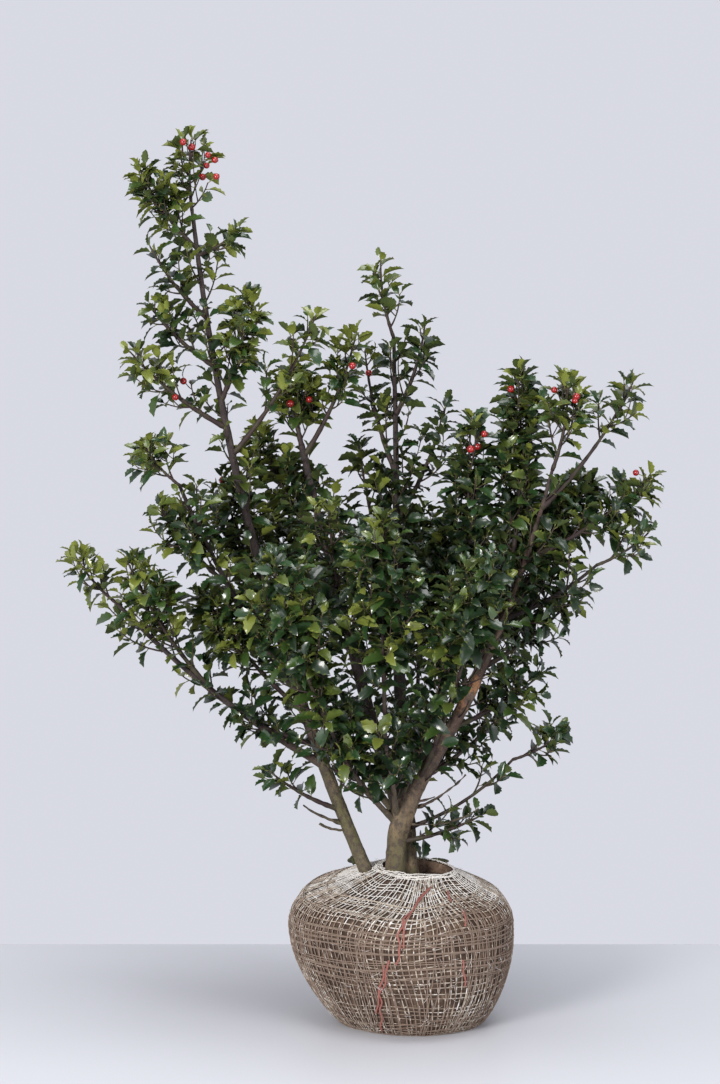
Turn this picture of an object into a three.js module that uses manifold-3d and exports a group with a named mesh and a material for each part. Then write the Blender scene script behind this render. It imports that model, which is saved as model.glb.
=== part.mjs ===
// A meserve holly dug up for planting: a spreading evergreen shrub standing on its root ball.
// Lengths are millimetres, +Z is up, +Y points away from the viewer, and the origin is the centre
// of the root ball's flat underside. Every limb is one tapering bend from its foot to its tip, and
// every mass of foliage is one leafy branch, grown by a seeded rule inside a space of its own.
import * as THREE from "three";
import { mergeVertices } from "three/addons/utils/BufferGeometryUtils.js";
import Module from "manifold-3d";

const wasm = await Module();
wasm.setup();

// Driving dimensions

const GAP = 0.3; // clearance between neighbouring solids
const GOLDEN_SHARE = (Math.sqrt(5) - 1) / 2;
const GOLDEN_ANGLE = 2 * Math.PI * (1 - GOLDEN_SHARE); // turn from one twig to the next

const BALL = {
  height: 196,
  girth: 142, // radius where it is widest
  girthHeight: 122,
  foot: 88, // radius of the flat underside
  lean: -13, // how far the widest ring lies to the left of the foot
  tilt: 0.14, // slope of the top, which is higher behind the stems than in front
  fullness: 0.8, // exponent of the lower half's rising sine
  roundness: 2.2, // exponent of the upper half's superellipse
  rings: [0, 8, 26, 52, 80, 106, 128, 148, 165, 178, 188, 193.5], // heights of the faceted rings
  sides: 28,
};

// Lumps round the ball: waves of `lobes` bulges, each `height` of the radius high.
const BALL_LUMPS = [
  { lobes: 2, height: 0.022, turn: 0.3, twist: 0 },
  { lobes: 3, height: 0.013, turn: 0, twist: 1 / 40 },
  { lobes: 5, height: 0.011, turn: 0, twist: 0 },
];

// The hole that the netting leaves round the stems, where soil shows.
const HOLE = { x: -6, y: 8, length: 60, depth: 42, floor: 181, flare: 1.12, sides: 18 };

// The trunk is two stems grown together, given as [foot], [tip], foot radius and tip radius.
const TRUNK = [
  { foot: [-22, -8], tip: [-17, -6, 288], radii: [14, 12] },
  { foot: [-2, 8], tip: [-6, 9, 274], radii: [12.5, 10.5] },
];
const TRUNK_BOW = 1.5;
const TRUNK_FACETS = { sides: 10, steps: 8 };
const ROOT_FLARE = { share: 0.32, reach: 0.16, lobes: 5 };
const TRUNK_DOME = { start: 0.9, height: 0.13 }; // where the trunk's top rounds off, in shares of its length

// Limbs. `on` is the limb that carries it and `at` the share of that limb's length where it leaves.
// `bow` is how far its middle hangs outwards from the straight line between foot and tip.
const LIMBS = [
  { name: "leader_stem", foot: [-48, 4], tip: [-273, 25, 1010], bow: 33, radii: [8.8, 2.6] },
  { name: "right_stem", foot: [-18, -6, 262], tip: [170, -95, 705], bow: 22, radii: [10.5, 2.8] },
  { name: "centre_stem", foot: [-5, 10, 250], tip: [-21, 105, 862], bow: 22, radii: [9.5, 2.6] },
  { name: "centre_left_stem", foot: [-12, 6, 256], tip: [-139, 60, 727], bow: 5, radii: [9, 4] },
  { name: "right_side_bough", on: "right_stem", at: 0.6, tip: [226, -86, 588], bow: 7, radii: [3.8, 2.3] },
  { name: "far_left_bough", on: "leader_stem", at: 0.19, tip: [-366, -36, 534], bow: 13, radii: [5, 2.4] },
  { name: "left_bough", on: "leader_stem", at: 0.3, tip: [-288, -50, 684], bow: 10, radii: [4.6, 2.2] },
  { name: "low_right_bough", foot: [0, 4, 246], tip: [128, -16, 336], bow: 10, radii: [3.6, 2.2] },
  { name: "front_bough", foot: [-16, -10, 262], tip: [-34, -92, 404], bow: 14, radii: [5.5, 3] },
  { name: "front_left_bough", foot: [-20, -8, 256], tip: [-104, -96, 396], bow: 12, radii: [5, 3] },
  { name: "back_left_bough", foot: [-8, 10, 250], tip: [-104, 104, 410], bow: 16, radii: [5, 3] },
  { name: "back_bough", foot: [-4, 12, 248], tip: [10, 122, 398], bow: 16, radii: [5, 3] },
];
const LIMB_WAVE = 2.2; // sideways waver of a limb, zero at its foot and tip
const LIMB_FACETS = { stemSides: 8, boughSides: 6, stemRadius: 6, step: 75, fewest: 4, most: 10 };

// Two dead twigs on the leader, left bare.
const DEAD_TWIG_BOW = 3;
const DEAD_TWIGS = [
  { at: 0.095, tip: [-136, -14, 277], radii: [1.7, 0.9] },
  { at: 0.09, tip: [-116, -22, 254], radii: [1.5, 0.9] },
];

// Masses of foliage. Each is one leafy branch: `tip` is its furthest leaf tip, `girth` the radius
// of its space, `bare` the share of its stem without leaves, and `berries` those that show.
const MASSES = [
  { name: "leader_top_foliage", on: "leader_stem", at: 1, tip: [-276, 28, 1134], girth: 38, berries: 4 },
  { name: "leader_left_high_foliage", on: "leader_stem", at: 0.96, tip: [-352, 0, 1092], girth: 33 },
  { name: "leader_right_high_foliage", on: "leader_stem", at: 0.95, tip: [-198, 42, 1010], girth: 28 },
  { name: "leader_left_mid_foliage", on: "leader_stem", at: 0.86, tip: [-340, -6, 996], girth: 32 },
  {
    name: "leader_left_low_foliage", on: "leader_stem", at: 0.79, tip: [-344, -4, 920],
    girth: 34, bare: 0.2,
  },
  {
    name: "upper_left_foliage", on: "leader_stem", at: 0.7, tip: [-368, -26, 862],
    girth: 36, bare: 0.35, berries: 1,
  },
  { name: "upper_mid_foliage", on: "leader_stem", at: 0.74, tip: [-196, -6, 934], girth: 38 },
  { name: "upper_inner_foliage", on: "leader_stem", at: 0.66, tip: [-108, -10, 910], girth: 40, bare: 0.3 },
  {
    name: "centre_left_top_foliage", on: "centre_left_stem", at: 1, tip: [-146, 60, 840],
    girth: 38, berries: 1,
  },
  {
    name: "centre_left_fork_foliage", on: "centre_left_stem", at: 0.97, tip: [-60, 46, 890],
    girth: 32, bare: 0.45, berries: 1,
  },
  { name: "centre_left_low_foliage", on: "centre_left_stem", at: 0.72, tip: [-210, 84, 766], girth: 40 },
  { name: "spire_top_foliage", on: "centre_stem", at: 1, tip: [-42, 110, 985], girth: 30 },
  { name: "spire_right_foliage", on: "centre_stem", at: 0.84, tip: [26, 98, 902], girth: 31, bare: 0.15 },
  { name: "spire_left_foliage", on: "centre_stem", at: 0.72, tip: [-64, 128, 868], girth: 33 },
  { name: "spire_low_right_foliage", on: "centre_stem", at: 0.62, tip: [56, 112, 800], girth: 40 },
  { name: "spire_low_left_foliage", on: "centre_stem", at: 0.46, tip: [-72, 140, 748], girth: 42 },
  {
    name: "right_inner_top_foliage", on: "right_stem", at: 0.56, tip: [130, -66, 848],
    girth: 36, bare: 0.62,
  },
  {
    name: "right_inner_left_foliage", on: "right_stem", at: 0.5, tip: [70, -64, 784],
    girth: 42, bare: 0.25, berries: 2,
  },
  { name: "right_top_foliage", on: "right_stem", at: 1, tip: [192, -104, 836], girth: 38, berries: 2 },
  {
    name: "right_outer_top_foliage", on: "right_stem", at: 0.9, tip: [282, -84, 830],
    girth: 38, bare: 0.3,
  },
  {
    name: "right_tip_foliage", on: "right_stem", at: 0.76, tip: [314, -60, 708],
    girth: 36, bare: 0.3, berries: 1,
  },
  { name: "right_mid_foliage", on: "right_stem", at: 0.64, tip: [226, -16, 708], girth: 48 },
  { name: "right_side_foliage", on: "right_side_bough", at: 1, tip: [308, -92, 640], girth: 36 },
  { name: "right_low_outer_foliage", on: "right_stem", at: 0.46, tip: [222, -50, 562], girth: 42 },
  { name: "right_low_foliage", on: "right_stem", at: 0.28, tip: [182, -40, 460], girth: 44 },
  { name: "low_right_foliage", on: "low_right_bough", at: 1, tip: [208, -25, 380], girth: 33 },
  { name: "low_right_inner_foliage", on: "right_stem", at: 0.12, tip: [136, 30, 404], girth: 42 },
  { name: "lowest_right_foliage", on: "trunk", at: 0.5, tip: [112, -24, 274], girth: 34 },
  { name: "far_left_foliage", on: "far_left_bough", at: 1, tip: [-434, -42, 614], girth: 30 },
  { name: "left_fork_foliage", on: "far_left_bough", at: 0.5, tip: [-364, -66, 610], girth: 42, bare: 0.4 },
  {
    name: "lowest_left_foliage", on: "leader_stem", at: 0.12, tip: [-198, -30, 334],
    girth: 30, bare: 0.35,
  },
  { name: "left_under_foliage", on: "leader_stem", at: 0.22, tip: [-262, -10, 420], girth: 42 },
  { name: "left_mid_foliage", on: "leader_stem", at: 0.27, tip: [-276, 0, 560], girth: 50 },
  { name: "left_top_foliage", on: "left_bough", at: 1, tip: [-344, -56, 748], girth: 40 },
  { name: "left_outer_foliage", on: "left_bough", at: 0.55, tip: [-326, -44, 672], girth: 42 },
  { name: "left_inner_foliage", on: "leader_stem", at: 0.4, tip: [-246, 56, 706], girth: 48 },
  { name: "front_top_foliage", on: "front_bough", at: 1, tip: [-40, -176, 668], girth: 60 },
  { name: "front_left_foliage", on: "front_left_bough", at: 1, tip: [-176, -172, 624], girth: 60 },
  { name: "front_right_foliage", on: "right_stem", at: 0.1, tip: [94, -190, 622], girth: 60, bare: 0.35 },
  { name: "low_front_left_foliage", on: "front_left_bough", at: 0.3, tip: [-146, -110, 470], girth: 50 },
  { name: "low_front_right_foliage", on: "trunk", at: 0.9, tip: [40, -110, 470], girth: 50 },
  { name: "middle_foliage", on: "centre_left_stem", at: 0.42, tip: [-108, -46, 676], girth: 62 },
  { name: "inner_right_foliage", on: "right_stem", at: 0.38, tip: [42, -36, 650], girth: 60 },
  { name: "back_left_foliage", on: "back_left_bough", at: 1, tip: [-190, 190, 665], girth: 66 },
  { name: "back_foliage", on: "back_bough", at: 1, tip: [20, 225, 650], girth: 70 },
  { name: "back_right_foliage", on: "right_stem", at: 0.08, tip: [176, 150, 672], girth: 66, bare: 0.4 },
];
const BARE = 0.1; // share of a mass's stem without leaves, where the list doesn't say
const SWELL = 0.05; // how much fatter a mass's space is towards its tip than in its middle
const OVERHANG = 1.7; // how far past the middle of its space's edge a leaf may reach, in reach() units

// The growth rule's sizes. Leaves and berries are larger than life, because they are fewer.
const LEAF = {
  share: 1.42, // length of a leaf as a share of its mass's girth, kept between two lengths
  lengths: [46, 74],
  width: 0.62, // widths and places on a leaf are shares of its length
  broadest: 0.54,
  droop: 0.06,
  root: 0.5, // radius of the ring that is sunk in the shoot
  thick: 1.2,
  angles: [40, 70], // degrees off the shoot's heading
  sizes: [0.75, 1.08],
};
const LEAF_COUNT = 522;
const FEWEST_LEAVES = 8; // in one mass
const LEAVES_PER_TWIG = 4.5;
const LEAF_SPACING = 4.5; // distance along a shoot from one side leaf to the next
const STEM = { thickest: 3.8, thinnest: 1.8, tipRadius: 2.6, bow: 0.04, steps: 3, bareTip: 0.15 };
const TWIG = {
  angles: [30, 50], // degrees off the stem's heading
  longest: 90,
  shortest: 8,
  radius: 1.4,
  bareFoot: 0.15,
  endLeaf: [0.8, 1.05], // size of the leaf at its end
};
const BERRY = { radius: 4.6, stalk: 11, stalkRadius: 0.9, angle: 65, places: [0.45, 0.85] };

// Colours, roughness

const looks = {
  bark: { color: 0x6b5a45, roughness: 0.85 },
  leaves: { color: 0x2f5220, roughness: 0.4 },
  netting: { color: 0x8a7763, roughness: 0.95 },
};
const materials = Object.fromEntries(
  Object.entries(looks).map(([name, look]) => [
    name,
    new THREE.MeshStandardMaterial({ ...look, metalness: 0, flatShading: true, name }),
  ]),
);

// Small helpers

const vec = (x, y, z) => new THREE.Vector3(x, y, z);
const between = ([low, high], share) => THREE.MathUtils.lerp(low, high, share);

// Repeatable random numbers from 0 to 1 (the mulberry32 generator).
function seeded(seed) {
  let state = seed >>> 0;
  return () => {
    state = (state + 0x6d2b79f5) >>> 0;
    let mixed = Math.imul(state ^ (state >>> 15), 1 | state);
    mixed = (mixed + Math.imul(mixed ^ (mixed >>> 7), 61 | mixed)) ^ mixed;
    return ((mixed ^ (mixed >>> 14)) >>> 0) / 4294967296;
  };
}

// A closed three.js geometry as a solid for joining and cutting.
function solidOf(geometry) {
  const bare = new THREE.BufferGeometry().setAttribute("position", geometry.getAttribute("position"));
  const merged = mergeVertices(geometry.index ? bare.setIndex(geometry.index) : bare, 1e-4);
  const corners = merged.index.array;
  const kept = [];
  for (let i = 0; i < corners.length; i += 3) {
    const [a, b, c] = corners.slice(i, i + 3);
    if (a !== b && b !== c && c !== a) kept.push(a, b, c);
  }
  return new wasm.Manifold(
    new wasm.Mesh({
      numProp: 3,
      vertProperties: merged.attributes.position.array,
      triVerts: new Uint32Array(kept),
    }),
  );
}

// A solid as a named mesh of the plant.
function meshOf(name, solid, material) {
  const { vertProperties, triVerts } = solid.getMesh();
  const geometry = new THREE.BufferGeometry()
    .setAttribute("position", new THREE.BufferAttribute(vertProperties, 3))
    .setIndex(new THREE.BufferAttribute(triVerts, 1));
  geometry.computeVertexNormals();
  const mesh = new THREE.Mesh(geometry, material);
  mesh.name = name;
  return mesh;
}

const largestOf = (solid) => solid.decompose().reduce((a, b) => (a.volume() > b.volume() ? a : b));

// Bends

// A bend from foot to tip whose middle hangs `bow` outwards, in the upright plane through both.
// point(t) and heading(t) give its centreline, radius(t) its taper, and `right` and up(t) square it.
function bendOf(foot, tip, bow, radii, wave = 0, phase = 0) {
  const level = vec(tip.x - foot.x, tip.y - foot.y, 0);
  const right = level.lengthSq() > 1 ? level.cross(vec(0, 0, 1)).normalize() : vec(1, 0, 0);
  const outward = tip.clone().sub(foot).cross(right).normalize();
  const middle = foot.clone().add(tip).multiplyScalar(0.5).addScaledVector(outward, 2 * bow);
  const curve = new THREE.QuadraticBezierCurve3(foot, middle, tip);
  const waver = (t) => wave * 4 * t * (1 - t) * Math.sin(7 * t + phase);
  return {
    right,
    length: curve.getLength(),
    point: (t) => curve.getPoint(t).addScaledVector(right, waver(t)),
    heading: (t) => curve.getTangent(t),
    up: (t) => right.clone().cross(curve.getTangent(t)),
    radius: (t) => between(radii, t),
  };
}

// A tapering tube along a bend: a cylinder whose rings are carried to the bend, `extra` fatter.
function tubeOf(bend, sides, steps, extra = 0, radiusAt = (t) => bend.radius(t)) {
  const geometry = new THREE.CylinderGeometry(1, 1, 1, sides, steps);
  const position = geometry.getAttribute("position");
  for (let i = 0; i < position.count; i++) {
    const [x, y, z] = [position.getX(i), position.getY(i), position.getZ(i)];
    const t = y + 0.5;
    const heading = bend.heading(t);
    const radius = radiusAt(t, Math.atan2(z, x)) + extra;
    const place = bend.point(t);
    place.addScaledVector(bend.right, x * radius).addScaledVector(bend.up(t), z * radius);
    if (extra && t === 0) place.addScaledVector(heading, -extra);
    if (extra && t === 1) place.addScaledVector(heading, extra);
    position.setXYZ(i, place.x, place.y, place.z);
  }
  return solidOf(geometry);
}

// Root ball

// The ball's radius at a height: a rising sine below its widest ring, a superellipse above.
function ballRadius(height) {
  if (height < BALL.girthHeight) {
    const rise = Math.sin((Math.PI / 2) * (height / BALL.girthHeight));
    return BALL.foot + (BALL.girth - BALL.foot) * rise ** BALL.fullness;
  }
  const up = (height - BALL.girthHeight) / (BALL.height - BALL.girthHeight);
  return BALL.girth * (1 - Math.min(up, 1) ** BALL.roundness) ** (1 / BALL.roundness);
}

// How far a ring of the ball is pushed in or out at an angle, as a share of its radius.
const ballLump = (angle, height) =>
  BALL_LUMPS.reduce((sum, wave) => {
    const phase = wave.lobes * angle - wave.turn - wave.twist * height;
    return sum + wave.height * Math.sin(phase);
  }, 1);

function rootBall() {
  const profile = [
    new THREE.Vector2(0, 0),
    ...BALL.rings.map((height) => new THREE.Vector2(ballRadius(height), height)),
    new THREE.Vector2(0, BALL.height),
  ];
  const geometry = new THREE.LatheGeometry(profile, BALL.sides);
  const position = geometry.getAttribute("position");
  for (let i = 0; i < position.count; i++) {
    const [x, height, z] = [position.getX(i), position.getY(i), position.getZ(i)];
    const lump = ballLump(Math.atan2(z, x), height);
    const lean = BALL.lean * Math.min(height / BALL.girthHeight, 1);
    const top = Math.max(height - BALL.girthHeight, 0) / (BALL.height - BALL.girthHeight);
    position.setXYZ(i, x * lump + lean, -z * lump, height - BALL.tilt * top * z * lump);
  }
  const rise = 2 * (BALL.height - HOLE.floor); // the plug stands proud of the ball's top
  const plug = new THREE.CylinderGeometry(HOLE.flare, 1, rise, HOLE.sides)
    .rotateX(Math.PI / 2)
    .scale(HOLE.length, HOLE.depth, 1)
    .translate(HOLE.x, HOLE.y, HOLE.floor + rise / 2);
  return solidOf(geometry).subtract(solidOf(plug));
}

// Limbs

const SOIL = HOLE.floor + GAP; // height of the flat cut under each stem that stands in the soil
const BELOW = 12; // how far a stem is drawn below that height before it is cut flat

const cutFlat = (solid) => {
  const slab = new THREE.BoxGeometry(4 * BALL.girth, 4 * BALL.girth, 4 * BELOW);
  return solid.subtract(solidOf(slab.translate(0, 0, SOIL - 2 * BELOW)));
};

// The trunk's radius swells into lobes at its foot and closes in a low dome at its top.
function trunkRadius(bend) {
  return (t, angle) => {
    const flare = ROOT_FLARE.share * Math.exp(-t / ROOT_FLARE.reach);
    const lobes = 1 + 0.5 * Math.sin(ROOT_FLARE.lobes * angle);
    const up = Math.max(t - TRUNK_DOME.start, 0) / TRUNK_DOME.height;
    return bend.radius(t) * (1 + flare * lobes) * Math.sqrt(1 - up ** 2);
  };
}

function trunkLimb() {
  const bends = TRUNK.map(({ foot, tip, radii }) =>
    bendOf(vec(...foot, SOIL - BELOW), vec(...tip), TRUNK_BOW, radii),
  );
  const build = (extra) =>
    bends
      .map((bend) => tubeOf(bend, TRUNK_FACETS.sides, TRUNK_FACETS.steps, extra, trunkRadius(bend)))
      .reduce((a, b) => a.add(b));
  return { name: "trunk", ...bends[0], solid: cutFlat(build(0)), fat: build(GAP) };
}

// A limb's foot is cut clear of everything that was built before it, so that it sits in its fork.
function cutClear(solid, limbs) {
  return largestOf(limbs.reduce((cut, limb) => cut.subtract(limb.fat), solid));
}

function buildLimbs() {
  const limbs = [trunkLimb()];
  const find = (name) => limbs.find((limb) => limb.name === name);
  LIMBS.forEach(({ name, on, at, foot, tip, bow, radii }, index) => {
    const start = on ? find(on).point(at) : vec(foot[0], foot[1], foot[2] ?? SOIL - BELOW);
    const bend = bendOf(start, vec(...tip), bow, radii, LIMB_WAVE, index);
    const { stemSides, boughSides, stemRadius, step, fewest, most } = LIMB_FACETS;
    const sides = radii[0] > stemRadius ? stemSides : boughSides;
    const steps = Math.round(THREE.MathUtils.clamp(bend.length / step, fewest, most));
    const solid = cutClear(cutFlat(tubeOf(bend, sides, steps)), limbs);
    limbs.push({ name, ...bend, solid, fat: tubeOf(bend, sides, steps, GAP) });
  });
  const leader = find("leader_stem");
  for (const { at, tip, radii } of DEAD_TWIGS) {
    const twig = bendOf(leader.point(at), vec(...tip), DEAD_TWIG_BOW, radii);
    leader.solid = leader.solid.add(tubeOf(twig, 4, 3));
    leader.fat = leader.fat.add(tubeOf(twig, 4, 3, GAP));
  }
  return limbs;
}

// Foliage

// A mass's own space is an egg round the leafy stretch of its stem, fatter towards its tip.
// reach(point) is under 1 inside it.
function spaceOf(stem, tip, girth, bare) {
  const start = stem.point(bare);
  const axis = tip.clone().sub(start);
  const half = axis.length() / 2;
  axis.normalize();
  const centre = start.clone().addScaledVector(axis, half);
  const reach = (point) => {
    const offset = point.clone().sub(centre);
    const along = offset.dot(axis);
    const across = offset.lengthSq() - along * along;
    const swell = girth * (1 + SWELL * THREE.MathUtils.clamp(along / half, -1, 1));
    return (along / half) ** 2 + across / swell ** 2;
  };
  return { reach, area: half * girth };
}

// A closed three-sided solid through rings of three points, the first and last ring being its ends.
function threeSided(rings) {
  const corners = [0, 2, 1];
  for (let low = 0; low < 3 * (rings.length - 1); low += 3) {
    for (const [k, next] of [[0, 1], [1, 2], [2, 0]]) {
      corners.push(low + k, low + next, low + 3 + next, low + k, low + 3 + next, low + 3 + k);
    }
  }
  const last = 3 * (rings.length - 1);
  corners.push(last, last + 1, last + 2);
  const positions = rings.flat().flatMap((point) => point.toArray());
  return solidOf(
    new THREE.BufferGeometry()
      .setAttribute("position", new THREE.Float32BufferAttribute(positions, 3))
      .setIndex(corners),
  );
}

// Three points round a centre, one of them on the upper side.
const ringOf = (centre, right, up, radius) =>
  [0, 1, 2].map((k) => {
    const angle = (2 * Math.PI * k) / 3;
    return centre.clone()
      .addScaledVector(right, radius * Math.sin(angle))
      .addScaledVector(up, radius * Math.cos(angle));
  });

// The ring that a shoot or a stalk opens into: a leaf's left edge, right edge and tip.
function leafRing({ foot, heading, right, length }, extra) {
  const up = right.clone().cross(heading);
  const corner = (across, along, height) =>
    foot.clone().addScaledVector(right, across).addScaledVector(heading, along).addScaledVector(up, height);
  const halfWidth = 0.5 * LEAF.width * length + extra;
  const top = 0.5 * LEAF.thick + extra;
  return [
    corner(-halfWidth, LEAF.broadest * length, top),
    corner(halfWidth, LEAF.broadest * length, top),
    corner(0, length + extra, top - LEAF.droop * length),
  ];
}

// A side leaf: its root ring is sunk in the shoot, and opens straight into the blade.
function leafSolid(leaf, extra = 0) {
  const up = leaf.right.clone().cross(leaf.heading);
  return threeSided([ringOf(leaf.foot, leaf.right, up, LEAF.root + extra), leafRing(leaf, extra)]);
}

// A shoot is a three-sided twig along a bend, ending in a leaf of its own.
function shootSolid(shoot, extra = 0) {
  const rings = [];
  for (let step = 0; step <= shoot.steps; step++) {
    const t = step / shoot.steps;
    rings.push(ringOf(shoot.point(t), shoot.right, shoot.up(t), shoot.radius(t) + extra));
  }
  return threeSided([...rings, leafRing(shoot.endLeaf, extra)]);
}

function shootOf(foot, end, bow, radii, steps, leafLength) {
  const bend = bendOf(foot, end, bow, radii);
  const endLeaf = { foot: bend.point(1), heading: bend.heading(1), right: bend.right, length: leafLength };
  return { ...bend, steps, endLeaf };
}

// Everything grown so far, so that a new twig or leaf can be tried against its neighbours.
const grown = [];
const boxed = (solid, owner) => ({ solid, owner, box: solid.boundingBox() });
const overlaps = (a, b) =>
  [0, 1, 2].every((k) => a.box.min[k] <= b.box.max[k] && b.box.min[k] <= a.box.max[k]) &&
  !a.solid.intersect(b.solid).isEmpty();
const meets = (item, spared) => grown.some((other) => other.owner !== spared && overlaps(item, other));

// The stem of a mass starts in its bough's tip, or in the side of the stem that carries it.
function massStem({ name, on, at, tip, girth, bare = BARE, berries = 0 }, limbs, index) {
  const carrier = limbs.find((limb) => limb.name === on);
  const foot = carrier.point(at).addScaledVector(carrier.heading(at), at === 1 ? -1 : 0);
  const target = vec(...tip);
  const reach = target.clone().sub(foot);
  const leafLength = THREE.MathUtils.clamp(LEAF.share * girth, ...LEAF.lengths);
  const end = target.clone().addScaledVector(reach.clone().normalize(), -0.95 * leafLength);
  const thick = THREE.MathUtils.clamp(0.95 * carrier.radius(at), STEM.thinnest, STEM.thickest);
  const radii = [thick, STEM.tipRadius];
  const stem = shootOf(foot, end, STEM.bow * reach.length(), radii, STEM.steps, leafLength);
  const space = spaceOf(stem, target, girth, bare);
  return { name, bare, berries, leafLength, ...stem, space, rand: seeded(1000 + index) };
}

// A direction that leaves a shoot at t, `angle` degrees off its heading and turned round it.
function turnedOff(shoot, t, turn, angle) {
  const tilt = THREE.MathUtils.degToRad(angle);
  return shoot.heading(t)
    .multiplyScalar(Math.cos(tilt))
    .addScaledVector(shoot.up(t), Math.sin(tilt) * Math.cos(turn))
    .addScaledVector(shoot.right, Math.sin(tilt) * Math.sin(turn))
    .normalize();
}

// One side twig: it leaves the stem at t and its end leaf reaches the edge of the mass's space.
function sideTwig(mass, t, turn) {
  const out = turnedOff(mass, t, turn, between(TWIG.angles, mass.rand()));
  const foot = mass.point(t);
  const leafLength = mass.leafLength * between(TWIG.endLeaf, mass.rand());
  let length = 0;
  const tipAt = () => foot.clone().addScaledVector(out, length + leafLength);
  while (length < TWIG.longest && mass.space.reach(tipAt()) < 1) length++;
  if (length < TWIG.shortest) return null;
  const end = foot.clone().addScaledVector(out, length);
  return shootOf(foot, end, 0, [TWIG.radius, TWIG.radius], 1, leafLength);
}

// Whether points lie in a mass's own space, or just outside it, and in no other mass's space.
const keepsClear = (points, mass, masses) =>
  points.every((point) => {
    const own = mass.space.reach(point);
    const edge = Math.min(own, 1);
    return own < OVERHANG && masses.every((other) => other === mass || other.space.reach(point) > edge);
  });

function growTwigs(mass, masses) {
  mass.shoots = [mass];
  const wanted = Math.round(mass.quota / LEAVES_PER_TWIG);
  for (let k = 0; k < 8 * wanted && mass.shoots.length <= wanted; k++) {
    const t = between([mass.bare, 1 - STEM.bareTip], (k * GOLDEN_SHARE) % 1);
    const twig = sideTwig(mass, t, k * GOLDEN_ANGLE + mass.rand());
    if (!twig) continue;
    const trial = boxed(shootSolid(twig, 2 * GAP), twig);
    if (!keepsClear(leafRing(twig.endLeaf, 0), mass, masses) || meets(trial, mass)) continue;
    mass.pieces.push(shootSolid(twig));
    mass.shoots.push(twig);
    grown.push(trial);
  }
}

// Side leaves stand on the flats of a shoot, the nearest to its tip first. They turn their upper
// side to the shoot's tip, the sky and the light outside the crown, each with a twist of its own.
function sideLeaf(shoot, k, { rand, leafLength }) {
  const t = 1 - (LEAF_SPACING * (k + 1 + rand())) / shoot.length;
  if (t < (shoot.bare ?? TWIG.bareFoot)) return null;
  const flat = (2 * k) % 3;
  const turn = (Math.PI / 3) * (1 + 2 * flat);
  const heading = turnedOff(shoot, t, turn, between(LEAF.angles, rand()));
  const outside = shoot.point(t).setZ(0).normalize();
  const twist = vec(rand() - 0.5, rand() - 0.5, rand() - 0.5).multiplyScalar(2);
  const face = shoot.heading(t).add(outside).add(twist).add(vec(0, 0, 0.3));
  const right = heading.clone().cross(face).normalize();
  return { foot: shoot.point(t), heading, right, length: leafLength * between(LEAF.sizes, rand()) };
}

// Leaves are dealt out one to each shoot in turn, until the mass has its share.
function growLeaves(mass, masses) {
  mass.leaves = mass.shoots.length;
  for (let k = 0; k < 30; k++) {
    for (const shoot of mass.shoots) {
      for (let attempt = 0; attempt < 4 && mass.leaves < mass.quota; attempt++) {
        const leaf = sideLeaf(shoot, k, mass);
        if (!leaf) break;
        const trial = boxed(leafSolid(leaf, 2 * GAP), leaf);
        if (!keepsClear(leafRing(leaf, 0), mass, masses) || meets(trial, shoot)) continue;
        mass.pieces.push(leafSolid(leaf));
        grown.push(trial);
        mass.leaves++;
        break;
      }
    }
  }
}

// A berry on a three-sided stalk, low on one of the mass's shoots.
function growBerries(mass, masses) {
  for (let k = 0, set = 0; k < 20 * mass.berries && set < mass.berries; k++) {
    const shoot = mass.shoots[k % mass.shoots.length];
    const t = between(BERRY.places, mass.rand());
    const heading = turnedOff(shoot, t, k * GOLDEN_ANGLE, BERRY.angle);
    const centre = shoot.point(t).addScaledVector(heading, BERRY.stalk);
    const ball = (extra) =>
      solidOf(new THREE.IcosahedronGeometry(BERRY.radius + extra, 0).translate(centre.x, centre.y, centre.z));
    const trial = boxed(ball(GAP), shoot);
    if (!keepsClear([centre], mass, masses) || meets(trial, null)) continue;
    const up = shoot.right.clone().cross(heading);
    const ends = [shoot.point(t), centre].map((end) => ringOf(end, shoot.right, up, BERRY.stalkRadius));
    mass.pieces.push(threeSided(ends).add(ball(0)));
    grown.push(trial);
    set++;
  }
}

function growFoliage(limbs) {
  limbs.forEach((limb) => grown.push(boxed(limb.fat, "limb")));
  const masses = MASSES.map((spec, index) => massStem(spec, limbs, index));
  const totalArea = masses.reduce((sum, mass) => sum + mass.space.area, 0);
  for (const mass of masses) {
    mass.quota = Math.max(FEWEST_LEAVES, Math.round((LEAF_COUNT * mass.space.area) / totalArea));
    mass.pieces = [cutClear(shootSolid(mass), limbs)];
    grown.push(boxed(shootSolid(mass, GAP), mass));
  }
  for (const mass of masses) growTwigs(mass, masses);
  for (const mass of masses) growBerries(mass, masses);
  for (const mass of masses) growLeaves(mass, masses);
  return masses;
}

// The plant

const plant = new THREE.Group();
plant.name = "meserve_holly";
plant.add(meshOf("root_ball", rootBall(), materials.netting));
const limbs = buildLimbs();
for (const { name, solid } of limbs) plant.add(meshOf(name, solid, materials.bark));
for (const { name, pieces } of growFoliage(limbs)) {
  const fused = largestOf(pieces.reduce((a, b) => a.add(b)));
  plant.add(meshOf(name, fused, materials.leaves));
}

export default plant;
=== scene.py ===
# %% [markdown]
# # A meserve holly on its root ball
# This lesson dresses a nursery shrub: stems with bark, small spiny leaves in sprays, red berries,
# and a ball of soil held in coarse netting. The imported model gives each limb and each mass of
# foliage as a plain solid, so every size below is the drawing's own, in millimetres, and the
# pieces made here grow in the same places.

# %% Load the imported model
import math
from collections import namedtuple
from types import SimpleNamespace

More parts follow.
